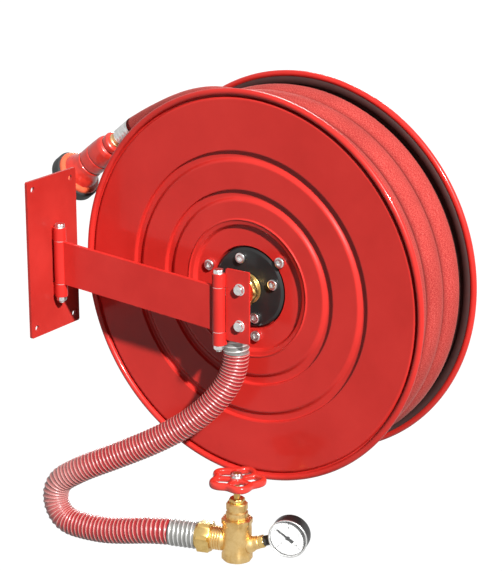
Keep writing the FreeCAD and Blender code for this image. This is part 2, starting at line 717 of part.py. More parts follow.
def wound_hose():
    low, high = d.coil_edge, d.drum_width - d.coil_edge
    inner_low, inner_high = d.coil_inset, d.drum_width - d.coil_inset
    coil = turned([
        (d.coil_in, inner_low), (d.coil_step, inner_low), (d.coil_step, low),
        (d.coil_out, low), (d.coil_out, high), (d.coil_step, high),
        (d.coil_step, inner_high), (d.coil_in, inner_high)])
    node(put(coil, d.drum_x, d.drum_front, d.drum_z, TO_REAR), "hose_coil")
    tail = feature(hose_tube("hose_tail", TAIL_ROUTE, SIZES["tail_radius"]), "tail_tube")
    winding = cylinder(d.coil_out, d.drum_width, d.drum_x, d.drum_front, d.drum_z, TO_REAR)
    ferrule = cylinder(d.nozzle_collar, d.tail_ferrule_long, *along_nozzle(0), NOZZLE_WAY)
    node(cut(tail, winding, ferrule), "hose_tail")


def feed_hose():
    """The hose, cut flush with the faces of its two ferrules, and the upper ferrule."""
    tube = feature(hose_tube("feed_hose", FEED_ROUTE, SIZES["feed_radius"]), "feed_tube")
    upper_low = d.elbow_low - d.feed_ferrule_long
    above = cylinder(d.union_hex, d.feed_ferrule_long, d.drum_x, d.elbow_y, upper_low)
    lower_end = -d.inlet_reach - d.union_long - d.low_ferrule_long
    beyond = cylinder(d.union_hex, d.low_ferrule_long, *on_valve(lower_end, d.inlet_high),
                      VALVE_WAY * Rotation(Vector(0, 1, 0), 90))
    node(cut(tube, above, beyond), "feed_hose")
    upper = ring(d.feed_ferrule_radius, d.spigot_radius, d.feed_ferrule_long)
    node(put(upper, d.drum_x, d.elbow_y, upper_low), "feed_ferrule_hub")


# ---- nozzle -----------------------------------------------------------------------------

def along_nozzle(distance):
    """A place on the nozzle's axis, a distance from the end of the hose."""
    slope = math.radians(SIZES["nozzle_slope"])
    distance = sized(distance)
    return (d.nozzle_x - distance * round(math.cos(slope), 6), d.nozzle_y,
            d.nozzle_z - distance * round(math.sin(slope), 6))


def nozzle():
    """Ferrule, coupling and fixed body of the nozzle."""
    body_at = d.tail_ferrule_long + d.coupling_long
    ferrule = ring(d.tail_ferrule_radius, d.tail_spigot, d.tail_ferrule_long)
    node(put(ferrule, *along_nozzle(0), NOZZLE_WAY), "hose_ferrule")
    coupling = turned([
        (d.nozzle_bore, 0), (d.tail_spigot, 0), (d.tail_spigot, d.tail_ferrule_long),
        (d.coupling_radius, d.tail_ferrule_long), (d.coupling_radius, body_at),
        (d.nozzle_bore, body_at)])
    node(put(coupling, *along_nozzle(0), NOZZLE_WAY), "nozzle_coupling")
    collar = d.nozzle_collar_long
    end = collar + d.nozzle_long
    neck_end = end + d.nozzle_neck_long
    body = turned([
        (d.nozzle_bore, 0), (d.nozzle_collar, 0), (d.nozzle_collar, collar),
        (d.nozzle_radius, collar + d.nozzle_taper), (d.nozzle_radius, end),
        (d.nozzle_neck, end), (d.nozzle_neck, neck_end), (d.nozzle_bore, neck_end)])
    node(put(body, *along_nozzle(body_at), NOZZLE_WAY), "nozzle_body")
    nozzle_head(body_at + end)


def nozzle_head(start):
    """Head that turns on the nozzle's neck, with its rubber bumper."""
    bore, seat = d.nozzle_neck + d.nozzle_play, d.bumper_seat
    socket = d.nozzle_neck_long + d.end_gap
    head = turned([
        (bore, d.end_gap), (d.nozzle_radius, d.end_gap),
        (d.nozzle_radius, d.tip_rim_at - d.tip_flare), (d.tip_rim, d.tip_rim_at),
        (d.tip_rim, d.tip_rim_end), (seat, d.tip_rim_end), (seat, d.tip_long),
        (d.mouth_radius, d.tip_long), (d.throat_radius, socket), (bore, socket)])
    node(put(head, *along_nozzle(start), NOZZLE_WAY), "nozzle_head")
    bumper = ring(d.bumper_radius, seat, d.bumper_long)
    node(put(bumper, *along_nozzle(start + d.bumper_at), NOZZLE_WAY), "nozzle_bumper")


# ---- angle valve ------------------------------------------------------------------------

def on_valve(across=0, up=0):
    """A place in the valve's own plane, across towards the gauge and up its stem."""
    turn = math.radians(SIZES["valve_turn"])
    across, up = sized(across), sized(up)
    return (d.valve_x + across * round(math.cos(turn), 6),
            d.valve_y + across * round(math.sin(turn), 6), d.valve_z + up)


def along_gauge(distance):
    slope = math.radians(SIZES["gauge_slope"])
    distance = sized(distance)
    return on_valve(distance * round(math.cos(slope), 6),
                    d.gauge_high + distance * round(math.sin(slope), 6))


def valve_body():
    drum = cylinder(d.body_radius, d.body_high, *on_valve())
    flats = prism(d.body_flat / math.cos(math.pi / 8), d.body_high, *on_valve(), VALVE_WAY, 8)
    inlet = cylinder(d.inlet_radius, d.inlet_reach, *on_valve(0, d.inlet_high), INLET_WAY)
    boss = cylinder(d.boss_radius, d.boss_reach, *along_gauge(0), GAUGE_WAY)
    chamber_low = d.thread_deep + d.seat_thick
    thread = cylinder(d.thread_radius, d.thread_deep, *on_valve())
    seat = cylinder(d.seat_radius, chamber_low, *on_valve())
    chamber = cylinder(d.chamber_radius, d.body_high - chamber_low,
                       *on_valve(0, chamber_low))
    way_in = cylinder(d.inlet_bore, d.inlet_reach, *on_valve(0, d.inlet_high), INLET_WAY)
    tap = cylinder(d.boss_bore, d.boss_reach - d.chamber_radius,
                   *along_gauge(d.chamber_radius), GAUGE_WAY)
    body = fuse(common(drum, flats), inlet, boss)
    node(cut(body, thread, seat, chamber, way_in, tap), "valve_body")


def valve_bonnet():
    low, top = d.body_high - d.bonnet_plug, d.body_high + d.bonnet_high
    plug = cylinder(d.chamber_radius, d.bonnet_plug, *on_valve(0, low))
    hexagon = prism(d.bonnet_hex, d.bonnet_high, *on_valve(0, d.body_high), VALVE_WAY, 8)
    room = cylinder(d.bonnet_bore, d.bonnet_plug + d.bonnet_high - d.bonnet_roof,
                    *on_valve(0, low))
    hole = cylinder(d.stem_radius + d.stem_play, d.bonnet_high + d.bonnet_plug,
                    *on_valve(0, low))
    recess = cylinder(d.packing_radius, d.packing_high, *on_valve(0, top - d.packing_high))
    node(cut(fuse(plug, hexagon), room, hole, recess), "valve_bonnet")
    packing = ring(d.packing_radius, d.stem_radius + d.stem_play, d.packing_high)
    node(put(packing, *on_valve(0, top - d.packing_high)), "gland_packing")
    nut = prism(d.gland_hex, d.gland_high, *on_valve(0, top))
    bore = cylinder(d.stem_radius + d.stem_play, d.gland_high, *on_valve(0, top))
    node(cut(nut, bore), "gland_nut")


def valve_moving():
    """Plug with its washer, threaded stem, handwheel and nut."""
    seat = d.thread_deep + d.seat_thick + d.plug_gap
    washer = ring(d.plug_radius, d.washer_bore, d.washer_high)
    node(put(washer, *on_valve(0, seat)), "seat_washer")
    floor, top = d.washer_high * 2, d.washer_high + d.plug_high
    pocket, guide_top = d.stem_radius + d.guide_play, top + d.guide_high
    plug = turned([
        (0, 0), (d.washer_bore, 0), (d.washer_bore, d.washer_high),
        (d.plug_radius, d.washer_high), (d.plug_radius, top), (d.guide_radius, top),
        (d.guide_radius, guide_top), (pocket, guide_top), (pocket, floor), (0, floor)])
    node(put(plug, *on_valve(0, seat)), "valve_plug")
    low, collar_top = seat + floor + d.guide_play, d.stem_collar_low + d.stem_collar_long
    collar = d.bonnet_bore - d.stem_play
    stem = turned([
        (0, low), (d.stem_radius, low), (d.stem_radius, d.stem_collar_low),
        (collar, d.stem_collar_low), (collar, collar_top), (d.stem_radius, collar_top),
        (d.stem_radius, d.stem_top), (0, d.stem_top)])
    node(put(stem, *on_valve()), "valve_stem")
    node(put(handwheel(), *on_valve(0, d.wheel_low), VALVE_WAY), "handwheel")
    wheel_top = d.wheel_low + d.wheel_thick
    nut = prism(d.hex_radius, d.wheel_nut_high, *on_valve(0, wheel_top))
    bore = cylinder(d.stem_radius, d.wheel_nut_high, *on_valve(0, wheel_top))
    node(cut(nut, bore), "handwheel_nut")


def handwheel():
    """Flat wheel with rounded lobes and a hole inside each lobe."""
    body = ring(d.wheel_radius, d.stem_radius, d.wheel_thick)
    outline = new_sketch(body, "XY_Plane")
    draw_circle(outline, d.lobe_pitch, 0, d.lobe_radius)
    lobe = body.newObject("PartDesign::Pad", "lobe")
    lobe.Profile = outline
    bind(lobe, Length=d.wheel_thick)
    repeat(body, lobe, LOBES)
    hole = drill(body, "XY_Plane", d.wheel_hole_pitch, 0, d.wheel_hole)
    repeat(body, hole, LOBES)
    return body


def union():
    """Union nut and the spigot that carries the feed hose's lower end."""
    start = -d.inlet_reach
    height = d.inlet_high
    nut = prism(d.union_hex, d.union_long, *on_valve(start, height), INLET_WAY)
    hole = cylinder(d.union_bore, d.union_long, *on_valve(start, height), INLET_WAY)
    node(cut(nut, hole), "union_nut")
    long = d.union_long + d.low_ferrule_long
    spigot = turned([
        (d.elbow_bore, 0), (d.union_bore, 0), (d.union_bore, d.union_long),
        (d.spigot_radius, d.union_long), (d.spigot_radius, long), (d.elbow_bore, long)])
    node(put(spigot, *on_valve(start, height), INLET_WAY), "hose_spigot")
    ferrule = ring(d.low_ferrule_radius, d.spigot_radius, d.low_ferrule_long)
    put(ferrule, *on_valve(start - d.union_long, height), INLET_WAY)
    node(ferrule, "feed_ferrule_valve")


# ---- pressure gauge ---------------------------------------------------------------------

def gauge():
    """Gauge screwed in by its side, dial towards the front."""
    adapter = prism(d.adapter_hex, d.gauge_centre - d.boss_reach, *along_gauge(d.boss_reach),
                    GAUGE_WAY)
    bore = cylinder(d.boss_bore, d.gauge_centre - d.boss_reach, *along_gauge(d.boss_reach),
                    GAUGE_WAY)
    deep = d.case_front + d.case_back
    whole_case = cylinder(d.gauge_radius, deep, *dial_place(-d.case_back), DIAL_WAY)
    node(cut(adapter, bore, whole_case), "gauge_adapter")
    inner = d.gauge_radius - d.case_wall
    case = turned([(0, 0), (d.gauge_radius, 0), (d.gauge_radius, deep), (inner, deep),
                   (inner, d.case_wall), (0, d.case_wall)])
    node(put(case, *dial_place(-d.case_back), DIAL_WAY), "gauge_case")
    dial = turned([(0, 0), (inner, 0), (inner, d.dial_thick), (0, d.dial_thick)])
    node(put(dial, *dial_place(d.dial_front - d.dial_thick), DIAL_WAY), "gauge_dial")
    glass_back = d.glass_front - d.glass_thick
    bezel = turned([
        (inner, d.case_front), (d.bezel_out, d.case_front), (d.bezel_out, d.bezel_front),
        (d.bezel_in, d.bezel_front), (d.bezel_in, d.glass_front), (inner, d.glass_front)])
    node(put(bezel, *dial_place(0), DIAL_WAY), "gauge_bezel")
    glass = turned([(0, 0), (inner, 0), (inner, d.glass_thick), (0, d.glass_thick)])
    node(put(glass, *dial_place(glass_back), DIAL_WAY), "gauge_glass")
    gauge_needle()


def gauge_needle():
    half = d.needle_half
    body, _ = padded("XY_Plane", [
        (-d.needle_tail, -half * 2), (0, -half), (d.needle_long, -half / 4),
        (d.needle_long, half / 4), (0, half), (-d.needle_tail, half * 2)], d.needle_thick)
    outline = new_sketch(body, "XY_Plane")
    draw_circle(outline, 0, 0, d.needle_hub)
    hub = body.newObject("PartDesign::Pad", "hub")
    hub.Profile = outline
    bind(hub, Length=d.needle_thick)
    way = DIAL_WAY * Rotation(Vector(0, 0, 1), SIZES["needle_turn"])
    node(put(body, *dial_place(d.needle_front - d.needle_thick), way), "gauge_needle")


def dial_place(ahead):
    """The dial's centre, moved towards the viewer of the dial."""
    turn = math.radians(SIZES["valve_turn"])
    x, y, z = along_gauge(d.gauge_centre)
    ahead = sized(ahead)
    return x + ahead * round(math.sin(turn), 6), y - ahead * round(math.cos(turn), 6), z


def build():
    wall_plate()
    end_knuckles("wall_knuckles", d.hinge_x, d.hinge_z, d.plate_thick, -d.lug_thick / 2,
                 d.hinge_x - d.plate_thick, d.lug_thick)
    hinge_pin("wall_hinge", d.hinge_x, d.hinge_z)
    arm()
    end_knuckles("bracket_knuckles", d.hub_hinge_x, d.hub_hinge_z, d.hub_hinge_x,
                 d.bracket_front, d.bracket_left - d.hub_hinge_x, d.bracket_thick)
    hinge_pin("hub_hinge", d.hub_hinge_x, d.hub_hinge_z)
    bracket_plate()
    bracket_bolts()
    waterway_elbow()
    swivel_nut()
    axle_tube()
    axle_end()
    disc("front_disc", d.drum_front, TO_REAR, -1)
    disc("rear_disc", d.drum_front + d.drum_width, TO_FRONT, 1)
    hub_flange("front_flange", drum_level("front_flange"), TO_REAR, -1)
    hub_flange("rear_flange", drum_level("rear_flange"), TO_FRONT, 1)
    flange_screws()
    tie_rods()
    hub_spool()
    drum_core()
    wound_hose()
    nozzle()
    feed_hose()
    union()
    valve_body()
    valve_bonnet()
    valve_moving()
    gauge()


def faults():
    """Names of objects that failed, and of sub-parts without a sound solid shape."""
    bad = [thing.Name for thing in doc.Objects
           if "Invalid" in thing.State or "Error" in thing.State]
    for thing in sub_parts:
        shape = thing.Shape
        if shape.isNull() or not shape.isValid() or not shape.Solids:
            bad.append(thing.Label)
    return bad


build()
doc.recompute()
if faults():
    raise SystemExit(f"failed: {faults()}")
os.makedirs("parts", exist_ok=True)
for thing in sub_parts:
    thing.Shape.exportStep(f"parts/{thing.Label}.step")
    print(f"{thing.Label}: solids {len(thing.Shape.Solids)}, volume {thing.Shape.Volume:.0f}")
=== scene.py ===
import bpy
import json
import math
from mathutils import Matrix, Vector


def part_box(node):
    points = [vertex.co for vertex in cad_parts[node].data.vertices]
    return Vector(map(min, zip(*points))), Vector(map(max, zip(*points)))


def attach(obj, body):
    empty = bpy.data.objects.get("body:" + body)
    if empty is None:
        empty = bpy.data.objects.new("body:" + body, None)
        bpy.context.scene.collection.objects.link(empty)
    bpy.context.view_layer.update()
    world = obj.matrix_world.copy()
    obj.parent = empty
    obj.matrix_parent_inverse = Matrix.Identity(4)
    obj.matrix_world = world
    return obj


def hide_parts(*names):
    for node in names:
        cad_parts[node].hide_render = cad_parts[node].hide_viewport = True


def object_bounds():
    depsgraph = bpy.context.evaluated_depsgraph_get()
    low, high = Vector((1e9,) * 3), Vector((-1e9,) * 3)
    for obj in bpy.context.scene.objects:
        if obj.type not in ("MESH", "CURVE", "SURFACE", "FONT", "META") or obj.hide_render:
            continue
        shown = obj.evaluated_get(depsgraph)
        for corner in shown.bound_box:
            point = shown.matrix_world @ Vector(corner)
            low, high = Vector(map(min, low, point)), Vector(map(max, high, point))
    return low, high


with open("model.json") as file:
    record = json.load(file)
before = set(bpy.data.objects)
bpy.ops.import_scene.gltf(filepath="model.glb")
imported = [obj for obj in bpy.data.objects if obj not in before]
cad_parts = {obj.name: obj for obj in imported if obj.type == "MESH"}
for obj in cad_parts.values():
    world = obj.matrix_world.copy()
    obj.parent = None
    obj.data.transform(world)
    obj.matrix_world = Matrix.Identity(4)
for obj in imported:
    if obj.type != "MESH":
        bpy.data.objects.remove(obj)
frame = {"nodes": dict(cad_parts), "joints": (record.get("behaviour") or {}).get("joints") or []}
CAD_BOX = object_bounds()
MM = 0.001
TURN = 2 * math.pi
JOINTS = {joint["name"]: joint for joint in frame["joints"]}
NODES = frame["nodes"]

# The object's sizes are in millimetres, or in metres where they carry MM. The camera, the
# lights and the materials' bumps are in metres. The hoses follow the CAD's control points.
FEED_ROUTE = [
    (300, 25, -96.5), (299, 24, -122), (285, 13, -157), (253, -4, -195),
    (204, -23, -230), (146, -43, -261), (100, -58, -284), (79, -62.5, -297),
    (60.5, -66.5, -309.5), (52, -69, -325.4), (52.3, -70.5, -343.4), (61.3, -72, -359),
    (76.8, -72.5, -368.3), (103, -72, -369.2), (142, -69.5, -367), (181, -64.5, -359),
    (214, -60.5, -351), (244.2, -54.1, -348),
]
TAIL_ROUTE = [
    (291, 77, 238), (233, 80, 241.5), (190, 86, 231.5), (150, 94, 215.5),
    (110, 103, 195.5), (85, 107.5, 181.7), (65.4, 110, 169.7),
]


# ---- places on the object ----

def middle(node):
    """The middle of a CAD node's box."""
    low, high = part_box(node)
    return (Vector(low) + Vector(high)) / 2


def axes(origin, z_way, x_hint):
    """A matrix at origin whose Z runs along z_way and X near x_hint."""
    z = Vector(z_way).normalized()
    y = z.cross(Vector(x_hint)).normalized()
    x = y.cross(z)
    turn = Matrix((x, y, z)).transposed().to_4x4()
    return Matrix.Translation(Vector(origin)) @ turn


def joint_axes(name, x_hint):
    """Axes at a joint's place, with Z along its axis."""
    joint = JOINTS[name]
    return axes(joint["pos_m"], joint["axis"], x_hint)


DRUM = Vector(JOINTS["drum_spin"]["pos_m"])
# The hub flanges lie this far below the discs' outer faces.
FLANGE_SUNK = 5
FRONT_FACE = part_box("front_flange")[0][1] - FLANGE_SUNK * MM
REAR_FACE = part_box("rear_flange")[1][1] + FLANGE_SUNK * MM
ALONG = (0, 1, 0)
FRONT = axes((DRUM.x, FRONT_FACE, DRUM.z), ALONG, (1, 0, 0))
REAR = axes((DRUM.x, REAR_FACE, DRUM.z), (0, -1, 0), (1, 0, 0))
VALVE_YAW = math.radians(17)
GAUGE_TILT = math.radians(70)
INLET_HIGH, GAUGE_HIGH = 26.5, 17
ACROSS = Vector((math.cos(VALVE_YAW), math.sin(VALVE_YAW), 0))
VALVE = axes((*middle("valve_bonnet").xy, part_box("valve_body")[0][2]), (0, 0, 1), ACROSS)
NOZZLE = joint_axes("nozzle_turn", (0, 1, 0))
DIAL = joint_axes("needle_turn", ACROSS)
INLET = (VALVE @ Matrix.Translation((0, 0, INLET_HIGH * MM))
         @ Matrix.Rotation(-math.pi / 2, 4, "Y"))
GAUGE = (VALVE @ Matrix.Translation((0, 0, GAUGE_HIGH * MM))
         @ Matrix.Rotation(GAUGE_TILT, 4, "Y"))


# ---- materials ----

class Nodes:
    """A material's node tree, built a node at a time."""

    def __init__(self, name):
        self.material = bpy.data.materials.new(name)
        self.material.use_nodes = True
        self.tree = self.material.node_tree
        self.tree.nodes.clear()
        self.out = self.add("ShaderNodeOutputMaterial")
        self.shader = self.add("ShaderNodeBsdfPrincipled")
        self.link(self.shader, "BSDF", self.out, "Surface")
        self.place = self.add("ShaderNodeTexCoord")

    def add(self, kind, **settings):
        """Adds a node; a setting is one of its properties or else one of its inputs."""
        node = self.tree.nodes.new(kind)
        for name, value in settings.items():
            if hasattr(node, name):
                setattr(node, name, value)
            else:
                node.inputs[name].default_value = value
        return node

    def link(self, source, output, target, name):
        self.tree.links.new(source.outputs[output], target.inputs[name])

    def set(self, **values):
        """Sets the shader's own sockets."""
        for name, value in values.items():
            self.shader.inputs[name.replace("_", " ")].default_value = value

    def noise(self, scale, detail=3, roughness=0.55):
        noise = self.add("ShaderNodeTexNoise", Scale=scale, Detail=detail, Roughness=roughness)
        self.link(self.place, "Object", noise, "Vector")
        return noise

    def ramp(self, source, output, stops):
        """The output of a ramp that colours a value; stops are (value, colour) pairs."""
        ramp = self.add("ShaderNodeValToRGB")
        table = ramp.color_ramp.elements
        while len(table) < len(stops):
            table.new(0.5)
        for element, (at, colour) in zip(table, stops):
            element.position = at
            element.color = (*colour, 1)
        self.link(source, output, ramp, "Fac")
        return ramp.outputs["Color"]

    def rough(self, noise, low, high, rough_low, rough_high):
        """Roughness from rough_low to rough_high where a noise goes from low to high."""
        span = self.add("ShaderNodeMapRange")
        for name, value in (("From Min", low), ("From Max", high), ("To Min", rough_low),
                            ("To Max", rough_high)):
            span.inputs[name].default_value = value
        self.link(noise, "Fac", span, "Value")
        self.link(span, "Result", self.shader, "Roughness")

    def mix(self, first, second, blend="MIX", amount=1.0):
        """Blends two colours; each value is a number, a colour or an output."""
        node = self.add("ShaderNodeMix", data_type="RGBA", blend_type=blend)
        for socket, value in ((0, amount), (6, first), (7, second)):
            if isinstance(value, bpy.types.NodeSocket):
                self.tree.links.new(value, node.inputs[socket])
            else:
                node.inputs[socket].default_value = value
        return node.outputs[2]

    def base(self, colour):
        """Takes an output as the shader's colour."""
        self.tree.links.new(colour, self.shader.inputs["Base Color"])

    def bump(self, source, output, distance, strength=1.0):
        bump = self.add("ShaderNodeBump", Strength=strength, Distance=distance)
        self.link(source, output, bump, "Height")
        self.link(bump, "Normal", self.shader, "Normal")


def paint(name, base, shade, light, roughness=0.3, coat=0.6, peel=0.00004):
    """Glossy enamel with orange peel, uneven colour and a little dust."""
    m = Nodes(name)
    m.base(m.ramp(m.noise(14, 4), "Fac", [(0.3, shade), (0.5, base), (0.72, light)]))
    m.rough(m.noise(55, 6, 0.7), 0.35, 0.75, roughness - 0.02, roughness + 0.05)
    m.set(Coat_Weight=coat, Coat_Roughness=0.12, Specular_IOR_Level=0.2)
    m.bump(m.noise(420, 2), "Fac", peel)
    return m.material


def metal(name, base, dark, roughness, scale=160, pits=0.00005):
    """Plated or machined metal with tarnish and fine marks."""
    m = Nodes(name)
    tarnish = m.noise(scale, 5, 0.65)
    m.base(m.ramp(tarnish, "Fac", [(0.32, dark), (0.62, base)]))
    m.rough(tarnish, 0.3, 0.7, roughness + 0.14, roughness - 0.05)
    m.set(Metallic=1.0)
    m.bump(m.noise(scale * 6, 3), "Fac", pits)
    return m.material


def plain(name, base, dark, roughness, coat=0.0):
    """Moulded plastic or rubber with a fine grain."""
    scale, grain = 90, 0.00004
    m = Nodes(name)
    m.base(m.ramp(m.noise(scale, 5), "Fac", [(0.3, dark), (0.7, base)]))
    m.rough(m.noise(scale * 2, 4), 0.3, 0.7, roughness - 0.06, roughness + 0.1)
    m.set(Coat_Weight=coat, Coat_Roughness=0.1)
    m.bump(m.noise(scale * 14, 2), "Fac", grain)
    return m.material


def woven():
    """Flat-woven jacket: cross threads, fuzz, faded patches, and painted shade in the valleys
    between the wound rows.
    """
    m = Nodes("woven_jacket")
    uv = m.add("ShaderNodeUVMap", uv_map="along")
    threads = m.add("ShaderNodeMapping", Scale=(950, 46, 1))
    m.link(uv, "UV", threads, "Vector")
    weft = m.add("ShaderNodeTexNoise", Scale=1.0, Detail=2, Roughness=0.6)
    m.link(threads, "Vector", weft, "Vector")
    fuzz = m.noise(1500, 4, 0.75)
    blend = m.add("ShaderNodeMix", data_type="FLOAT")
    blend.inputs[0].default_value = 0.5
    m.link(weft, "Fac", blend, 2)
    m.link(fuzz, "Fac", blend, 3)
    colour = m.ramp(blend, 0, [(0.36, (0.27, 0.014, 0.013)), (0.48, (0.43, 0.036, 0.030)),
                               (0.60, (0.62, 0.115, 0.095))])
    patch = m.ramp(m.noise(22, 4), "Fac", [(0.3, (0.84, 0.80, 0.80)), (0.7, (1, 1, 1))])
    faded = m.mix(colour, patch, "MULTIPLY")
    # Painted shade: the hose's edges are darkened where the wound rows meet in valleys.
    valley_shade = m.add("ShaderNodeAttribute", attribute_name="valley_shade")
    m.base(m.mix(faded, (0.12, 0.012, 0.011, 1), amount=valley_shade.outputs["Fac"]))
    m.set(Roughness=0.9, Sheen_Weight=0.12, Sheen_Roughness=0.5, Specular_IOR_Level=0.2)
    m.shader.inputs["Sheen Tint"].default_value = (1.0, 0.55, 0.5, 1)
    m.bump(blend, 0, 0.0003, 0.7)
    return m.material


def ribbed(name, gap, rib, pale, roughness, metallic=0.0):
    """Spiral-ribbed hose: the rib attribute colours crests and gaps apart. The pale crests of
    the red hose are a painted highlight, and the dark gaps of the steel sleeves are painted
    shade. A second attribute makes some places paler.
    """
    m = Nodes(name)
    height = m.add("ShaderNodeAttribute", attribute_name="rib")
    paleness = m.add("ShaderNodeAttribute", attribute_name="paleness")
    # Crests take the rib colour and gaps take the gap colour: a painted highlight on the red
    # hose's crests, painted shade in the steel sleeves' gaps.
    colour = m.ramp(height, "Fac", [(0.40, gap), (0.92, rib)])
    faded = tuple(0.35 * a + 0.65 * b for a, b in zip(gap, pale))
    paling = m.ramp(height, "Fac", [(0.2, faded), (0.8, pale)])
    skin = m.mix(colour, paling, amount=paleness.outputs["Fac"])
    dirt = m.ramp(m.noise(120, 5, 0.7), "Fac", [(0.3, (0.72, 0.70, 0.70)), (0.65, (1, 1, 1))])
    m.base(m.mix(skin, dirt, "MULTIPLY"))
    m.set(Roughness=roughness, Metallic=metallic, Coat_Weight=0.25, Coat_Roughness=0.2)
    m.bump(m.noise(700, 3), "Fac", 0.00006)
    return m.material


def dial_face():
    """Off-white print ground."""
    m = Nodes("dial_print")
    shades = [(0.3, (0.90, 0.90, 0.89)), (0.7, (0.94, 0.94, 0.93))]
    m.base(m.ramp(m.noise(300, 3), "Fac", shades))
    m.set(Roughness=0.55)
    m.bump(m.noise(900, 2), "Fac", 0.00001)
    return m.material


def clear_glass():
    """Nearly clear lens with faint smudges."""
    m = Nodes("gauge_lens")
    m.rough(m.noise(60, 4), 0.3, 0.7, 0.02, 0.07)
    m.set(Alpha=0.03, IOR=1.45)
    m.shader.inputs["Base Color"].default_value = (1, 1, 1, 1)
    return m.material


RED = paint("red_enamel", (0.60, 0.026, 0.020), (0.55, 0.021, 0.016), (0.64, 0.032, 0.025),
            roughness=0.34, coat=0.15, peel=0.00003)
# The arm's red enamel made darker for the wall plate: painted shade, toning down the key light
# on the plate's side.
SHADED_PLATE_RED = paint("plate_enamel_painted_shade", (0.44, 0.026, 0.020), (0.40, 0.021, 0.016),
                  (0.48, 0.032, 0.025), roughness=0.34, coat=0.15, peel=0.00003)
DISC_RED = paint("disc_enamel", (0.58, 0.025, 0.019), (0.54, 0.022, 0.016),
                 (0.61, 0.029, 0.022), roughness=0.36, coat=0.25, peel=0.00001)
WHEEL_RED = paint("wheel_enamel", (0.62, 0.03, 0.018), (0.5, 0.02, 0.014),
                  (0.70, 0.05, 0.03), roughness=0.25, coat=0.8, peel=0.00008)
NOZZLE_RED = plain("nozzle_red", (0.62, 0.035, 0.02), (0.52, 0.022, 0.015), 0.32, coat=0.5)
NOZZLE_ORANGE = plain("nozzle_ring", (0.80, 0.13, 0.05), (0.70, 0.10, 0.04), 0.4, coat=0.3)
ZINC = metal("zinc_plate", (0.88, 0.88, 0.86), (0.62, 0.61, 0.60), 0.28)
BRASS = metal("turned_brass", (0.82, 0.58, 0.22), (0.58, 0.37, 0.11), 0.32, scale=90)
CAST_BRASS = metal("cast_brass", (0.86, 0.60, 0.26), (0.60, 0.37, 0.12), 0.36, scale=60,
                   pits=0.00014)
PALE_BRASS = metal("nipple_brass", (0.86, 0.62, 0.34), (0.66, 0.42, 0.18), 0.34)
BLACK = paint("black_enamel", (0.020, 0.020, 0.020), (0.014, 0.014, 0.014),
              (0.032, 0.031, 0.030), roughness=0.38, coat=0.3)
# Dark red-brown for the outer part of the discs' inner faces: painted shade of the gap between
# the hose and the disc.
DISC_INSIDE_SHADE = plain("disc_inside_painted_shade", (0.050, 0.012, 0.010), (0.030, 0.010, 0.009), 0.6)
DARK = plain("dark_steel", (0.05, 0.048, 0.045), (0.025, 0.024, 0.022), 0.5)
RUBBER = plain("black_rubber", (0.030, 0.030, 0.030), (0.018, 0.018, 0.018), 0.55)
CASE = plain("case_black", (0.012, 0.011, 0.011), (0.008, 0.008, 0.008), 0.42, coat=0.1)
SLEEVE = metal("sleeve_steel", (0.86, 0.86, 0.85), (0.60, 0.60, 0.59), 0.32, scale=200)
WOVEN = woven()
# The feed hose: its pale pink crest colour is a painted highlight on the spiral rib.
HOSE = ribbed("ribbed_hose_skin", (0.35, 0.017, 0.021), (0.62, 0.32, 0.28),
              (0.50, 0.26, 0.24), 0.4)
# The steel sleeves: the dark grey gap colour between the turns is painted shade.
SPIRAL_STEEL = ribbed("spiral_sleeve", (0.30, 0.30, 0.28), (0.80, 0.80, 0.78),
                      (0.8, 0.8, 0.8), 0.36, metallic=0.5)
DIAL_WHITE = dial_face()
LENS = clear_glass()
INK = plain("dial_ink", (0.02, 0.02, 0.02), (0.015, 0.015, 0.015), 0.6)


# ---- mesh making ----

def placed(name, data):
    """A new object with this data, linked into the scene."""
    thing = bpy.data.objects.new(name, data)
    bpy.context.scene.collection.objects.link(thing)
    return thing


def finish_mesh(name, verts, faces, material, body, at=None, sharp=35):
    """A shaded piece on its body; at moves its points to their place in the world."""
    mesh = bpy.data.meshes.new(name)
    if at is not None:
        verts = [at @ Vector(v) for v in verts]
    mesh.from_pydata([tuple(v) for v in verts], [], faces)
    mesh.validate()
    mesh.update()
    mesh.polygons.foreach_set("use_smooth", [True] * len(mesh.polygons))
    if sharp:
        mesh.set_sharp_from_angle(angle=math.radians(sharp))
    mesh.materials.append(material)
    piece = placed(name, mesh)
    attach(piece, body)
    return piece


def bridge(rows, across, closed=False):
    """Faces between rows of points; each row is a closed loop of the same length."""
    faces = []
    pairs = [(i, i + 1) for i in range(rows - 1)] + ([(rows - 1, 0)] if closed else [])
    for a, b in pairs:
        for j in range(across):
            k = (j + 1) % across
            faces.append((a * across + j, a * across + k, b * across + k, b * across + j))
    return faces


def end_faces(across, total):
    """Faces that close the first and the last row."""
    return [tuple(reversed(range(across))), tuple(range(total - across, total))]


def curve_shape(name, curve):
    """The points and faces of a curve or a text, which is then removed."""
    holder = placed(name, curve)
    bpy.context.view_layer.update()
    mesh = bpy.data.meshes.new_from_object(holder)
    points = [v.co.copy() for v in mesh.vertices]
    faces = [tuple(p.vertices) for p in mesh.polygons]
    bpy.data.objects.remove(holder)
    bpy.data.curves.remove(curve)
    bpy.data.meshes.remove(mesh)
    return points, faces


def soften(points, radius, steps=3):
    """Rounds each corner between the ends of an open (radius, height) outline."""
    points = [Vector(p) for p in points]
    soft = [points[0]]
    for before, corner, after in zip(points, points[1:], points[2:]):
        back, ahead = before - corner, after - corner
        reach = min(radius, 0.45 * back.length, 0.45 * ahead.length)
        start, end = corner + back.normalized() * reach, corner + ahead.normalized() * reach
        for step in range(steps + 1):
            t = step / steps
            soft.append(start * (1 - t) ** 2 + corner * 2 * t * (1 - t) + end * t * t)
    soft.append(points[-1])
    return [(p.x, p.y) for p in soft]


def round_outline(radius, count):
    """A circle of count points."""
    return [(radius * math.cos(TURN * k / count), radius * math.sin(TURN * k / count))
            for k in range(count)]


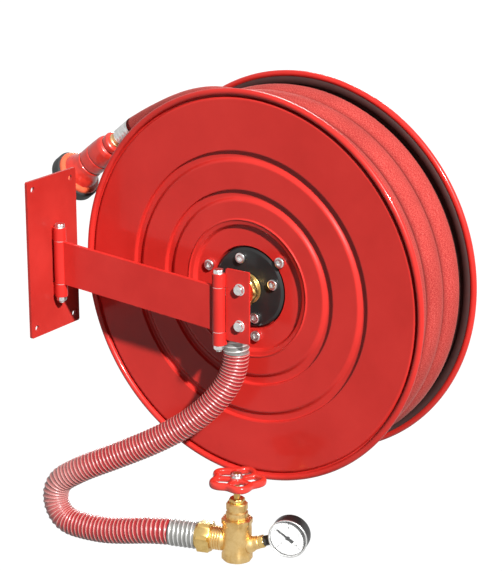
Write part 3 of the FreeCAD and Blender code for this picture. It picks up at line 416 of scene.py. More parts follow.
def flat_outline(sides, inradius, clip, count, turn=0.0):
    """A regular polygon whose corners are cut by a circle of radius clip."""
    points = []
    for k in range(count):
        angle = TURN * k / count
        inside = (angle + math.pi / sides) % (TURN / sides) - math.pi / sides
        radius = min(inradius / math.cos(inside), clip)
        points.append((radius * math.cos(angle + turn), radius * math.sin(angle + turn)))
    return points


def loft(name, sections, material, body, at, closed=True, sharp=35):
    """Joins (outline, height) sections into one surface, which ends in itself if closed."""
    verts = [(x * MM, y * MM, z * MM) for outline, z in sections for x, y in outline]
    across = len(sections[0][0])
    faces = bridge(len(sections), across, closed)
    if not closed:
        faces += end_faces(across, len(verts))
    return finish_mesh(name, verts, faces, material, body, at, sharp)


def lathe(name, outline, material, body, at, soft=0.6, closed=True, count=96, sharp=35):
    """Turns an outline of (radius, height) points round the Z of at."""
    if soft:
        outline = soften(outline, soft)
    least = 0.001
    sections = [(round_outline(max(radius, least), count), height)
                for radius, height in outline]
    return loft(name, sections, material, body, at, closed, sharp)


def hexagon(name, flats, low, high, material, body, at, bore=0.01, both=True,
            chamfer=1.0, turn=0.0):
    """Nut or head, flats across, with turned chamfers at its top or at both ends."""
    count, inner = 72, flats / 2
    corner = inner / math.cos(math.pi / 6) - 0.25
    full = flat_outline(6, inner, corner, count, turn)
    cut_back = flat_outline(6, inner, inner * 0.97, count, turn)
    hole = round_outline(bore, count)
    ends = [(cut_back, low), (full, low + chamfer)] if both else [(full, low)]
    ends += [(full, high - chamfer), (cut_back, high)]
    sections = ends + [(hole, high), (hole, low)]
    return loft(name, sections, material, body, at)


def joined(name, pieces, nodes):
    """Joins pieces of one body into one, and hides the CAD nodes they stand for."""
    bpy.ops.object.select_all(action="DESELECT")
    for piece in pieces:
        piece.select_set(True)
    bpy.context.view_layer.objects.active = pieces[0]
    bpy.ops.object.join()
    whole = bpy.context.view_layer.objects.active
    whole.name = name
    if nodes:
        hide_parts(*nodes)
    return whole


# ---- camera and light ----

CAMERA_PLACE = (1.73708, -2.05374, 0.80976)
CAMERA_AZIMUTH, CAMERA_ELEVATION = math.radians(34.2), math.radians(17.8)
CAMERA_LENS = 124.4
LIT_POINT = Vector((0.28, 0.08, -0.02))
LIGHT_DISTANCE = 3.0
AMBIENT, MIRRORED, SEEN = 0.07, 0.75, 1.0
KEY_POWER, FILL_POWER, REAR_POWER = 6.9, 1, 1.6
FLOOR_HALF, FLOOR_DROP = 40, 1.6


def aimed(place, ahead):
    """A matrix at place that looks ahead."""
    return Matrix.Translation(place) @ ahead.to_track_quat("-Z", "Y").to_matrix().to_4x4()


def set_camera():
    """Long lens, above and to the right of the arm."""
    level = math.cos(CAMERA_ELEVATION)
    ahead = Vector((-math.sin(CAMERA_AZIMUTH) * level, math.cos(CAMERA_AZIMUTH) * level,
                    -math.sin(CAMERA_ELEVATION)))
    camera = bpy.data.cameras.new("camera")
    camera.lens, camera.sensor_width = CAMERA_LENS, 36
    camera.clip_end = 50
    holder = placed("camera", camera)
    holder.matrix_world = aimed(CAMERA_PLACE, ahead)
    bpy.context.scene.camera = holder


def add_light(name, kind, way, power, size):
    """A light on the side way points to; size is in degrees for a sun, else in metres."""
    light = bpy.data.lights.new(name, kind)
    light.energy = power
    if kind == "SUN":
        light.angle = math.radians(size)
    else:
        light.size = size
    way = Vector(way).normalized()
    placed(name, light).matrix_world = aimed(LIT_POINT + way * LIGHT_DISTANCE, -way)


def set_world():
    """A white backdrop that lights weakly and is brighter in reflections."""
    world = bpy.data.worlds.new("studio")
    bpy.context.scene.world = world
    world.use_nodes = True
    tree = world.node_tree
    tree.nodes.clear()
    path = tree.nodes.new("ShaderNodeLightPath")
    out = tree.nodes.new("ShaderNodeOutputWorld")
    layer = None
    for ray, power in ((None, AMBIENT), ("Is Glossy Ray", MIRRORED), ("Is Camera Ray", SEEN)):
        back = tree.nodes.new("ShaderNodeBackground")
        back.inputs["Color"].default_value = (1, 1, 1, 1)
        back.inputs["Strength"].default_value = power
        if ray is None:
            layer = back.outputs["Background"]
            continue
        mix = tree.nodes.new("ShaderNodeMixShader")
        tree.links.new(path.outputs[ray], mix.inputs["Fac"])
        tree.links.new(layer, mix.inputs[1])
        tree.links.new(back.outputs["Background"], mix.inputs[2])
        layer = mix.outputs["Shader"]
    tree.links.new(layer, out.inputs["Surface"])


def add_floor():
    """A white floor that takes no shadow."""
    mesh = bpy.data.meshes.new("floor")
    half, level = FLOOR_HALF, CAD_BOX[0][2] - FLOOR_DROP
    mesh.from_pydata([(-half, -half, level), (half, -half, level), (half, half, level),
                      (-half, half, level)], [], [(0, 1, 2, 3)])
    floor = placed("floor", mesh)
    m = Nodes("floor_white")
    m.set(Roughness=1.0, Emission_Strength=1.0)
    m.shader.inputs["Base Color"].default_value = (0, 0, 0, 1)
    m.shader.inputs["Emission Color"].default_value = (1, 1, 1, 1)
    mesh.materials.append(m.material)
    floor.visible_diffuse = False
    floor.visible_glossy = False


def set_stage():
    """The backdrop, a hard key light, soft light in front and behind, and the floor."""
    bpy.context.scene.view_settings.view_transform = "Standard"
    set_world()
    add_light("key", "SUN", (0.70, -0.40, 0.60), KEY_POWER, 3)
    add_light("front_fill", "AREA", (-0.5, -1.0, 0.35), FILL_POWER, 2.5)
    add_light("rear_fill", "SUN", (-0.45, 1.0, 0.25), REAR_POWER, 15)
    add_floor()


# ---- hoses ----

def route_points(name, points):
    """Points of a smooth line that given points steer."""
    curve = bpy.data.curves.new(name, "CURVE")
    curve.dimensions = "3D"
    curve.resolution_u = 16
    spline = curve.splines.new("NURBS")
    spline.points.add(len(points) - 1)
    for point, place in zip(spline.points, points):
        point.co = (*place, 1)
    spline.order_u = 3
    spline.use_endpoint_u = True
    return curve_shape(name, curve)[0]


def resample(line, spacing):
    """Points an even distance apart along a line, and the line's length."""
    lengths = [0.0]
    for a, b in zip(line, line[1:]):
        lengths.append(lengths[-1] + (b - a).length)
    count = max(2, round(lengths[-1] / spacing))
    places, at = [], 0
    for k in range(count + 1):
        want = lengths[-1] * k / count
        while at < len(line) - 2 and lengths[at + 1] < want:
            at += 1
        run = lengths[at + 1] - lengths[at]
        part = (want - lengths[at]) / run if run else 0
        places.append(line[at].lerp(line[at + 1], min(max(part, 0), 1)))
    return places, lengths[-1]


def directions(line):
    """The way the line runs at each of its points."""
    ways = []
    for k in range(len(line)):
        a, b = line[max(k - 1, 0)], line[min(k + 1, len(line) - 1)]
        ways.append((b - a).normalized())
    return ways


# The winding: rows behind the front face, layers out from the axis, and the angles where the
# hose crosses to the next row and where it leaves for the nozzle.
ROWS = [24.5 * MM, 69.5 * MM, 114 * MM]
LAYERS = 8
FIRST_LAYER, LAYER_STEP = 113.5 * MM, 19.5 * MM
POINTS_PER_TURN = 16
CROSS_FROM, CROSS_LONG = math.radians(-170), math.radians(50)
LEAVES_AT = math.radians(88)
# The wound hose is flat; over its last stretch it fills out to a round hose. Against the
# front disc it is pressed flat, so that it clears the disc's grooves.
HOSE_WIDE, HOSE_THICK, HOSE_ROUND = 44 * MM, 26 * MM, 27 * MM
FILLS_OVER = 300 * MM
FRONT_CLEARANCE = 6.8 * MM
# Share of the hose's width, at each edge, that takes the painted shade of the valleys between
# rows.
VALLEY_SHADE_SHARE = 0.20
HOSE_STEP, HOSE_AROUND = 9 * MM, 24
FEED_RADIUS, FEED_RIB, FEED_STEP, FEED_AROUND = 18.6 * MM, 1.3 * MM, 0.7 * MM, 32
SLEEVE_RIB, SLEEVE_STEP, SLEEVE_AROUND = 0.9 * MM, 0.7 * MM, 40
SLEEVE_REACH = (58, 96)


def smooth(t):
    """A soft step from 0 to 1."""
    t = min(max(t, 0.0), 1.0)
    return t * t * (3 - 2 * t)


def winding_place(turns):
    """Radius and row of the wound hose after a number of turns from the crossing."""
    number = min(int(turns), LAYERS * len(ROWS) - 1)

    def settled(turn):
        layer, row = divmod(turn, len(ROWS))
        if layer % 2:
            row = len(ROWS) - 1 - row
        return FIRST_LAYER + LAYER_STEP * layer, ROWS[row]

    radius, row = settled(number)
    if number:
        old_radius, old_row = settled(number - 1)
        part = smooth((turns - number) * TURN / CROSS_LONG)
        radius = old_radius + (radius - old_radius) * part
        row = old_row + (row - old_row) * part
    return radius, row


def reel_route():
    """The wound hose from the drum's outlet, then its free end to the nozzle."""
    points = []
    # The smooth line cuts its points' corners, so they stand this much further out.
    inside = 0.5 * (1 + math.cos(TURN / POINTS_PER_TURN / 2))
    start = -CROSS_FROM / TURN
    last = LAYERS * len(ROWS) - 1 + (LEAVES_AT - CROSS_FROM) / TURN
    count = round((last - start) * POINTS_PER_TURN)
    for k in range(count + 1):
        turns = start + (last - start) * k / count
        radius, row = winding_place(turns)
        angle = CROSS_FROM + turns * TURN
        radius /= inside
        points.append((DRUM.x + radius * math.cos(angle), FRONT_FACE + row,
                       DRUM.z + radius * math.sin(angle)))
    tail = [tuple(c * MM for c in place) for place in TAIL_ROUTE]
    return points + tail[1:]


def oval(angle, power, wide, high):
    """A point of an oval section; a power under 1 squares it, over 1 sharpens it."""
    c, s = math.cos(angle), math.sin(angle)
    return (math.copysign(abs(c) ** power, c) * wide / 2,
            math.copysign(abs(s) ** power, s) * high / 2)


def wound_hose():
    """The woven hose on the drum and its free end, with painted shade along both edges, where
    the wound rows meet.
    """
    line, length = resample(route_points("reel_route", reel_route()), HOSE_STEP)
    verts, coords, valley_shades = [], [], []
    for k, (place, way) in enumerate(zip(line, directions(line))):
        left = length * (1 - k / (len(line) - 1))
        fill = smooth(1 - left / FILLS_OVER)
        wide = HOSE_WIDE + (HOSE_ROUND - HOSE_WIDE) * fill
        thick = HOSE_THICK + (HOSE_ROUND - HOSE_THICK) * fill
        up = Vector(ALONG).cross(way).normalized()
        side = way.cross(up).normalized()
        for j in range(HOSE_AROUND):
            angle = TURN * j / HOSE_AROUND
            x, y = oval(angle, 1.08 - 0.08 * fill, wide, thick)
            vert = place + side * x + up * y
            vert.y = max(vert.y, FRONT_FACE + FRONT_CLEARANCE)
            verts.append(vert)
            coords.append((k * HOSE_STEP, j / HOSE_AROUND))
            # Painted shade in the valleys: strongest at the edges, none on the round free end.
            near_edge = (abs(math.cos(angle)) - 1 + VALLEY_SHADE_SHARE) / VALLEY_SHADE_SHARE
            valley_shades.append((1 - fill) * smooth(near_edge))
    faces = bridge(len(line), HOSE_AROUND) + end_faces(HOSE_AROUND, len(verts))
    hose = finish_mesh("reel_hose", verts, faces, WOVEN, "drum", sharp=None)
    uv = hose.data.uv_layers.new(name="along")
    for loop in hose.data.loops:
        uv.data[loop.index].uv = coords[loop.vertex_index]
    hose.data.attributes.new("valley_shade", "FLOAT", "POINT").data.foreach_set("value", valley_shades)
    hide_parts("hose_coil", "hose_tail")
    return hose, line, length


def spiral_tube(name, line, radius, rib, turns, around, material, paling=None):
    """A tube on the hub with a spiral rib, which has made turns(at, length) turns at a place."""
    length = sum((b - a).length for a, b in zip(line, line[1:]))
    side = Vector(ALONG)
    verts, ribs, paleness_values = [], [], []
    for k, (place, way) in enumerate(zip(line, directions(line))):
        side = (side - way * side.dot(way)).normalized()
        up = way.cross(side)
        at = length * k / (len(line) - 1)
        for j in range(around):
            angle = TURN * j / around
            wave = 0.5 + 0.5 * math.cos(TURN * turns(at, length) - angle)
            height = wave ** 3
            reach = radius - rib + rib * height
            verts.append(place + (side * math.cos(angle) + up * math.sin(angle)) * reach)
            ribs.append(height)
            paleness_values.append(paling(at, length) if paling else 0.0)
    faces = bridge(len(line), around) + end_faces(around, len(verts))
    tube = finish_mesh(name, verts, faces, material, "hub", sharp=None)
    for label, values in (("rib", ribs), ("paleness", paleness_values)):
        layer = tube.data.attributes.new(label, "FLOAT", "POINT")
        layer.data.foreach_set("value", values)
    return tube


def rib_count(at, length):
    """Turns of the rib up to a place; the rib is closer near the hub."""
    close, wide = 4.9 * MM, 6.8 * MM
    grow = (wide - close) / length
    return math.log((close + grow * at) / close) / grow


def paler_at_bend(at, length):
    """How pale a place is: the hose is paler round its tight bend."""
    return 0.85 * smooth(1 - abs(at / length - 0.60) / 0.14)


def feed_hose():
    """The ribbed hose from the hub down to the valve."""
    route = [tuple(c * MM for c in place) for place in FEED_ROUTE]
    line, length = resample(route_points("feed_route", route), FEED_STEP)
    hose = spiral_tube("feed_hose_skin", line, FEED_RADIUS, FEED_RIB, rib_count, FEED_AROUND,
                       HOSE, paler_at_bend)
    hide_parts("feed_hose")
    return hose, line, length


# ---- drum ----

# The disc's depths are below its outer face. From EVEN_FROM out, its back has its own shape.
SHEET = 1.6
WELL_DEEP, FLOOR_DEEP, GROOVE_DEEP, RIDGE_HIGH = 14, 6, 5, 1.5
EVEN_FROM = 230
# The outer part of a disc's inner face, between these radii, takes a dark colour: painted shade
# of the narrow gap beside the wound hose.
SHADE_FROM, SHADE_TO = 200 * MM, 265.5 * MM
CAP_RADIUS, CAP_HIGH, CAP_SOCKET = 7.4, 5, 3.5
# Pitch radius, first angle in degrees, and how many.
FLANGE_SCREWS, TIE_BOLTS = (42.5, 16, 4), (68, 41, 3)
M8_FLATS, NUT_HIGH, HEAD_HIGH = 13, 6.5, 5.5


def slope(near, far, low, high, steps=8):
    """Points of a soft pressed step between two radii."""
    return [(near + (far - near) * k / steps, low + (high - low) * smooth(k / steps))
            for k in range(steps + 1)]


def held_flat(points):
    """Adds a point close to each end of a long run, so its shading stays flat."""
    near, long = 1, 6
    held = [points[0]]
    for a, b in zip(points, points[1:]):
        if b[0] - a[0] > long:
            held += [(a[0] + near, a[1]), (b[0] - near, b[1])]
        held.append(b)
    return held


def bead(radius, height, thick, start, end, count):
    """Points round a rolled edge; 90 degrees is its outer side, 0 its rim side."""
    points = []
    for k in range(count + 1):
        angle = math.radians(start + (end - start) * k / count)
        points.append((radius + thick * math.cos(angle), height - thick * math.sin(angle)))
    return points


def groove(near, far):
    """A pressed groove: a soft slope in from near, and a steep wall up to far."""
    wall = [(far - 2.2, GROOVE_DEEP + 0.6), (far - 1.4, GROOVE_DEEP), (far - 0.8, 0.3), (far, 0)]
    return slope(near, near + 7, 0, GROOVE_DEEP, 6) + wall


def disc_outline():
    """(radius, depth) points: well, sunk floor, ridge, two grooves, edge, bead and back."""
    face = [(24, WELL_DEEP), (56, WELL_DEEP)] + slope(56.8, 58.8, WELL_DEEP, FLOOR_DEEP, 4)
    face += [(60, FLOOR_DEEP), (84, FLOOR_DEEP)] + slope(85.5, 90, FLOOR_DEEP, 0)
    face += slope(94, 96, 0, -RIDGE_HIGH, 4) + slope(96, 98, -RIDGE_HIGH, 0, 4)[1:]
    face += groove(121, 138.2) + groove(175, 191.6) + [(EVEN_FROM, 0)]
    face += bead(259.4, 4, 4, 90, 15, 8) + [(263.8, 4.3), (265.2, 4.4)]
    rim = bead(270.3, 1.2, 4.5, 205, -140, 24)
    back = [(264, 6.2), (257, 5.2), (254, SHEET)]
    back += [(r, depth + SHEET) for r, depth in reversed(face) if r <= EVEN_FROM]
    return held_flat(face) + rim + back


def disc(name, node, at):
    """A pressed disc, with painted shade on the outer part of its inner face."""
    sections = [(round_outline(r, 300), depth) for r, depth in disc_outline()]
    piece = loft(name, sections, DISC_RED, "drum", at, sharp=50)
    # Faces turned inward between these radii take the dark material, which is painted shade.
    piece.data.materials.append(DISC_INSIDE_SHADE)
    inward = at.col[2].xyz
    for face in piece.data.polygons:
        out = math.hypot(face.center.x - DRUM.x, face.center.z - DRUM.z)
        faces_in = face.normal.dot(inward) > 0.1
        if faces_in and SHADE_FROM < out < SHADE_TO:
            face.material_index = 1
    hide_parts(node)


def on_pitch(pitch, start, count):
    """Places on a pitch circle round the drum's axis, as offsets in x and z."""
    for k in range(count):
        angle = math.radians(start) + TURN * k / count
        yield pitch * math.cos(angle), pitch * math.sin(angle)


def cap_head(name, at):
    """Socket-headed screw: rounded head with a hexagonal recess; its face is at 0."""
    count, radius, socket = 48, CAP_RADIUS, CAP_SOCKET
    recess = flat_outline(6, socket, socket / math.cos(math.pi / 6), count)
    outer = soften([(radius * 0.5, CAP_HIGH), (radius, CAP_HIGH), (radius, 0.3),
                    (radius * 0.72, 0), (socket * 1.3, 0)], 1.6, 4)
    sections = [(round_outline(r, count), h) for r, h in outer]
    sections += [(recess, 0.3), (recess, 2.8), (round_outline(0.01, count), 3.2)]
    return loft(name, sections, ZINC, "drum", at, closed=False, sharp=30)


def drum_screws():
    """The flanges' cap screws, and the tie bolts' heads, nuts and thread ends."""
    flange, tie = [], []
    for level, way in ((FRONT_FACE, ALONG), (REAR_FACE, (0, -1, 0))):
        for x, z in on_pitch(*FLANGE_SCREWS):
            place = (DRUM.x + x * MM, level, DRUM.z + z * MM)
            flange.append(cap_head("screw", axes(place, way, (x + 20, 0, z))))
    head_level = FRONT_FACE + (FLOOR_DEEP - CAP_HIGH) * MM
    nut_level = REAR_FACE - FLOOR_DEEP * MM
    for x, z in on_pitch(*TIE_BOLTS):
        x, z = DRUM.x + x * MM, DRUM.z + z * MM
        tie.append(cap_head("tie", axes((x, head_level, z), ALONG, (1, 0, 0.3))))
        nut_at = axes((x, nut_level, z), ALONG, (1, 0, 0.2))
        tie.append(hexagon("nut", M8_FLATS, 0, NUT_HIGH, ZINC, "drum", nut_at))
        tie.append(lathe("end", [(0, 6), (4, 6), (4, 9.3), (0, 9.3)], ZINC, "drum",
                         nut_at, closed=False, count=32))
    joined("flange_cap_screws", flange, ["flange_screws"])
    joined("tie_bolt_ends", tie, ["tie_bolts", "tie_nuts"])


def hub_flange(name, node, at):
    """Black flange in the disc's well."""
    outline = [(17.5, FLANGE_SUNK), (52.6, FLANGE_SUNK), (56, 7.6), (56, WELL_DEEP),
               (17.5, WELL_DEEP)]
    piece = lathe(name, outline, BLACK, "drum", at, soft=0.5, count=180)
    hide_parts(node)


def drum():
    """Both discs with their hub flanges and screws."""
    disc("front_disc_pressing", "front_disc", FRONT)
    disc("rear_disc_pressing", "rear_disc", REAR)
    hub_flange("front_hub_flange", "front_flange", FRONT)
    hub_flange("rear_hub_flange", "rear_flange", REAR)
    drum_screws()


# ---- hinges, bracket and hub ----

def hinge_hardware(name, node, body):
    """Hexagonal head with a washer face above, nut and thread end below."""
    x, y = middle(f"{node}_bolt").xy
    head_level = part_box(f"{node}_bolt")[1][2] - HEAD_HIGH * MM
    top = axes((x, y, head_level), (0, 0, 1), (1, 0.4, 0))
    bottom = axes((x, y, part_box(f"{node}_nut")[0][2]), (0, 0, 1), (1, 0.2, 0))
    root, crest, low, pitch = 3.7, 4.0, -3, 0.25
    thread = [(0, low)]
    for k in range(14):
        thread += [(root, low + pitch * k), (crest, low + 0.1 + pitch * k)]
    thread.append((0, 0.5))
    pieces = [
        hexagon("head", M8_FLATS, 0.6, HEAD_HIGH, ZINC, body, top, both=False),
        lathe("face", [(0, 0), (7.4, 0), (7.4, 0.6), (0, 0.6)], ZINC, body, top,
              soft=0.2, closed=False, count=48),
        hexagon("nut", M8_FLATS, 0, NUT_HIGH, ZINC, body, bottom),
        lathe("thread", thread, ZINC, body, bottom, soft=0, closed=False,
              count=32),
    ]
    joined(name, pieces, [f"{node}_bolt", f"{node}_nut"])


def bracket_bolts():
    """Two hexagon heads with washers on the front of the hub bracket."""
    low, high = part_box("bracket_bolts")
    x, y = middle("bracket_bolts").x, low[1] + HEAD_HIGH * MM
    inset = M8_FLATS / 2 * MM
    pieces = []
    for z, turn in ((low[2] + inset, 0.35), (high[2] - inset, 0.1)):
        at = axes((x, y, z), (0, -1, 0), (1, 0, turn))
        pieces.append(hexagon("head", M8_FLATS, 0.8, 5.3, ZINC, "hub", at,
                              both=False))
        pieces.append(lathe("washer", [(0, 0), (8.2, 0), (8.2, 0.8), (0, 0.8)], ZINC, "hub",
                            at, soft=0.2, closed=False, count=48))
    joined("bracket_bolt_heads", pieces, ["bracket_bolts"])


def hub_fittings():
    """The brass union nut in front of the hub and the axle's end nut behind it."""
    neck = axes((DRUM.x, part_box("swivel_nut")[0][1], DRUM.z), ALONG, (1, 0, 0.5))
    nut = [
        hexagon("hex", 40.7, -5, 5, BRASS, "hub", neck, bore=15, chamfer=1.6),
        lathe("collar", [(15, 4.5), (19, 4.5), (20.5, 5.5), (20.5, 7.5), (19.4, 8), (19.4, 9),
                         (21.5, 9.6), (21.5, 11.6), (20.4, 12.4), (15, 12.4)], BRASS, "hub",
              neck, soft=0.6),
    ]
    joined("swivel_union_nut", nut, ["swivel_nut"])
    rear = axes((DRUM.x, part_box("axle_nut")[0][1], DRUM.z), ALONG, (1, 0, 0.3))
    end = [hexagon("hex", 45.8, 0, 10, ZINC, "hub", rear, bore=16.5, chamfer=2)]
    joined("axle_end_nut", end, ["axle_nut"])


def spiral_sleeve(name, node, start, end, turns, radius):
    """Silver spiral sleeve over an end of the feed hose."""
    line = resample([Vector(start), Vector(end)], SLEEVE_STEP)[0]
    piece = spiral_tube(name, line, radius * MM, SLEEVE_RIB,
                        lambda at, length: turns * at / length, SLEEVE_AROUND, SPIRAL_STEEL)
    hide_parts(node)
    return piece


def hose_sleeves():
    """The sleeves at the feed hose's hub end and valve end."""
    low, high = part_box("feed_ferrule_hub")
    x, y = middle("feed_ferrule_hub").xy
    top = spiral_sleeve("hub_hose_sleeve", "feed_ferrule_hub", (x, y, high[2]),
                        (x, y, low[2]), 3.2, 18.2)
    start, end = (INLET @ Vector((0, 0, reach * MM)) for reach in SLEEVE_REACH)
    bottom = spiral_sleeve("valve_hose_sleeve", "feed_ferrule_valve", start, end, 6.0, 19.3)
    return top, bottom


# ---- nozzle ----

def nozzle_sleeve():
    """Ringed steel sleeve on the hose's end."""
    band, pitch = 13.3, 6
    outline = [(9, 0)]
    for k in range(5):
        low = pitch * k
        outline += [(band, low + 0.5), (band, low + 4.6), (12.6, low + 5.2)]
    outline += [(13.2, 29.8), (9, 30)]
    sleeve = lathe("nozzle_hose_sleeve", outline, SLEEVE, "drum", NOZZLE,
                   soft=0.5)
    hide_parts("hose_ferrule")
    return sleeve


def nozzle_barrel():
    """Brass nipple and the red barrel on it."""
    nipple = lathe("nozzle_nipple", [
        (7, 29), (11.6, 29.8), (11.9, 33), (10.4, 33.6), (10.4, 37.5), (12, 38), (12, 41.5),
        (7, 41.5)], PALE_BRASS, "drum", NOZZLE)
    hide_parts("nozzle_coupling")
    body = lathe("nozzle_barrel", [
        (7, 41), (14.5, 41), (17, 43), (17, 50), (15.4, 51.6), (15.4, 53.2), (18.6, 54.5),
        (20.4, 60), (20.9, 72), (21, 80), (20.2, 80.8), (20.2, 82.4), (21, 83.2), (21, 98),
        (20, 101), (13, 101), (13, 114), (7, 114)], NOZZLE_RED, "drum", NOZZLE,
        soft=1.2)
    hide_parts("nozzle_body")
    return nipple, body


def nozzle_head():
    """Flared head with an orange lip, and the rubber ring; both turn."""
    head = [
        lathe("flare", [
            (13.1, 101.4), (20, 101.4), (21, 102.5), (21.4, 108), (23, 114), (26, 120),
            (28, 126), (28, 140), (27, 149.6), (24, 149.6), (12, 145), (9, 116),
            (13.1, 116)], NOZZLE_RED, "nozzle_head", NOZZLE, soft=1.5),
        lathe("lip", [(27.5, 125.5), (32.6, 127), (34, 129), (34, 140), (27.5, 140)],
              NOZZLE_ORANGE, "nozzle_head", NOZZLE, soft=1.0),
    ]
    front = joined("nozzle_turning_head", head, ["nozzle_head"])
    rubber = lathe("nozzle_rubber_ring", [
        (27, 131.5), (34, 131.5), (37, 133), (37, 147), (34.5, 149.4), (27, 149.4)],
        RUBBER, "nozzle_head", NOZZLE, soft=1.6)
    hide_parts("nozzle_bumper")
    return front, rubber


# ---- valve ----

def octagon(inradius, clip):
    """The valve's eight-sided section."""
    return flat_outline(8, inradius, clip, 96)


def ring(radius):
    """The valve's round section, with as many points as its octagon."""
    return round_outline(radius, 96)


def valve_casting():
    """Cast brass angle body with its hose port and gauge boss."""
    wide = octagon(20.2, 21.5)
    body = [(octagon(19.4, 19.8), 0), (wide, 1.2), (wide, 9), (ring(20.0), 12),
            (ring(20.2), 30), (ring(20.2), 46), (ring(19.8), 52), (wide, 54), (wide, 60),
            (octagon(18.8, 19.2), 61), (ring(14), 61), (ring(14), 14), (ring(15.3), 13),
            (ring(15.3), 0)]
    housing = [loft("body", body, CAST_BRASS, "hub", VALVE)]
    crest, root, pitch = 16.4, 15.4, 3.6
    port = [(10, 12)]
    for k in range(4):
        low = 20 + pitch * k
        port += [(crest, low), (crest, low + 2.4), (root, low + 2.8), (root, low + 3.4)]
    port += [(root, 36), (10, 36)]
    housing.append(lathe("port", port, CAST_BRASS, "hub", INLET, soft=0.3))
    housing.append(lathe("boss", [(4, 10), (13, 17), (11.4, 23), (9.6, 27), (9.0, 33),
                                  (8.2, 34.4), (4, 34.4)], CAST_BRASS, "hub",
                         GAUGE, soft=1.0))
    housing.append(hexagon("hex", 16, 34, 42, BRASS, "hub", GAUGE, bore=3,
                           chamfer=0.8))
    joined("valve_casting", housing, ["valve_body"])


def valve_cover():
    """The bonnet on the body, with the gland nut on top."""
    lower, upper = octagon(14.4, 15.2), octagon(14.0, 14.8)
    bonnet = [(ring(14), 52), (ring(14), 61), (lower, 61.5), (lower, 70), (ring(12.8), 71.5),
              (ring(12.8), 73), (upper, 74), (upper, 82.4), (ring(12.6), 84), (ring(5), 84),
              (ring(5), 52)]
    cover = [loft("bonnet", bonnet, CAST_BRASS, "hub", VALVE)]
    joined("valve_cover", cover, ["valve_bonnet"])
    gland = hexagon("gland_hex", 20, 84, 90, BRASS, "hub", VALVE, bore=4.7)
    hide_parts("gland_nut")


def union_ring():
    """The nut that holds the feed hose on the valve's port."""
    union = [
        hexagon("hex", 40.2, 36, 55, BRASS, "hub", INLET, bore=12, chamfer=1.8,
                turn=math.radians(12)),
        lathe("skirt", [(12, 54), (17.4, 54), (17.2, 58), (12, 58)], BRASS, "hub",
              INLET, soft=0.6)]
    joined("union_ring_nut", union, ["union_nut"])


def valve_spindle():
    """Stem with a collar and a squared top, and the nut that holds the handwheel on it."""
    count = 48
    shank, collar = round_outline(4.5, count), round_outline(8.9, count)
    square, point = flat_outline(4, 3.4, 4.3, count), round_outline(0.01, count)
    sections = [(point, 22.3), (shank, 22.3), (shank, 50), (collar, 50), (collar, 58),
                (shank, 58), (shank, 99), (square, 100.5), (square, 126.4),
                (round_outline(2.6, count), 127), (point, 127)]
    stem = loft("valve_spindle", sections, BRASS, "valve_stem", VALVE, closed=False)
    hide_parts("valve_stem")
    top = [
        hexagon("nut", M8_FLATS, 121.6, 126.5, ZINC, "valve_stem", VALVE, bore=4),
        lathe("washer", [(4, 120.6), (8.8, 120.6), (8.8, 121.6), (4, 121.6)], ZINC,
              "valve_stem", VALVE, soft=0.2, count=48)]
    joined("handwheel_lock_nut", top, ["handwheel_nut"])


def wheel_bar(name, line, widths, high, closed=False):
    """A flat-lying bar of the handwheel, with a width for each point of its line."""
    around, count = 16, len(line)
    line = [Vector(p) for p in line]
    verts = []
    for k, (place, wide) in enumerate(zip(line, widths)):
        before = line[(k - 1) % count] if closed or k else place
        after = line[(k + 1) % count] if closed or k < count - 1 else place
        way = (after - before).normalized()
        side = Vector((-way.y, way.x, 0)).normalized()
        for j in range(around):
            x, z = oval(TURN * j / around, 0.8, wide, high)
            verts.append((place + side * x + Vector((0, 0, z))) * MM)
    faces = bridge(count, around, closed)
    if not closed:
        faces += end_faces(around, len(verts))
    return finish_mesh(name, verts, faces, WHEEL_RED, "valve_stem", VALVE,
                       sharp=None)


WHEEL_LOBES, WHEEL_LEVEL, WHEEL_TURN = 5, 116.4, math.radians(8)
WHEEL_RADIUS, LOBE_HIGH, RIM_POINTS = 32.2, 3.9, 180


def handwheel():
    """Cast wheel with five lobes, spokes between the lobes and a thick hub."""
    rim = []
    for k in range(RIM_POINTS):
        angle = TURN * k / RIM_POINTS
        radius = WHEEL_RADIUS + LOBE_HIGH * math.cos(WHEEL_LOBES * (angle - WHEEL_TURN))
        rim.append((radius * math.cos(angle), radius * math.sin(angle), WHEEL_LEVEL))
    pieces = [wheel_bar("rim", rim, [9.2] * RIM_POINTS, 10.8, closed=True)]
    for k in range(WHEEL_LOBES):
        angle = TURN * (k + 0.5) / WHEEL_LOBES + WHEEL_TURN
        spoke = [(r * math.cos(angle), r * math.sin(angle), WHEEL_LEVEL + 0.2)
                 for r in (6, 12, 18, 24, 29)]
        pieces.append(wheel_bar("spoke", spoke, [14, 9.5, 7.6, 9.5, 15], 8.0))
    pieces.append(lathe("hub", [(4.2, 111.2), (9.4, 111.2), (10.6, 115), (9.8, 120.6),
                                (4.2, 120.6)], WHEEL_RED, "valve_stem", VALVE,
                        soft=1.4, count=48))
    wheel = joined("cast_handwheel", pieces, ["handwheel"])
    remesh = wheel.modifiers.new("cast", "REMESH")
    remesh.mode, remesh.voxel_size, remesh.use_smooth_shade = "VOXEL", 0.8 * MM, True
    relax = wheel.modifiers.new("relax", "SMOOTH")
    relax.factor, relax.iterations = 0.5, 5


# ---- gauge ----

SCALE_START, SCALE_SWEEP, SCALE_STEPS = math.radians(225), math.radians(-270), 32
SCALE_RADIUS, NUMBER_RADIUS, PRINT_LEVEL = 22.6, 14.2, 7.58


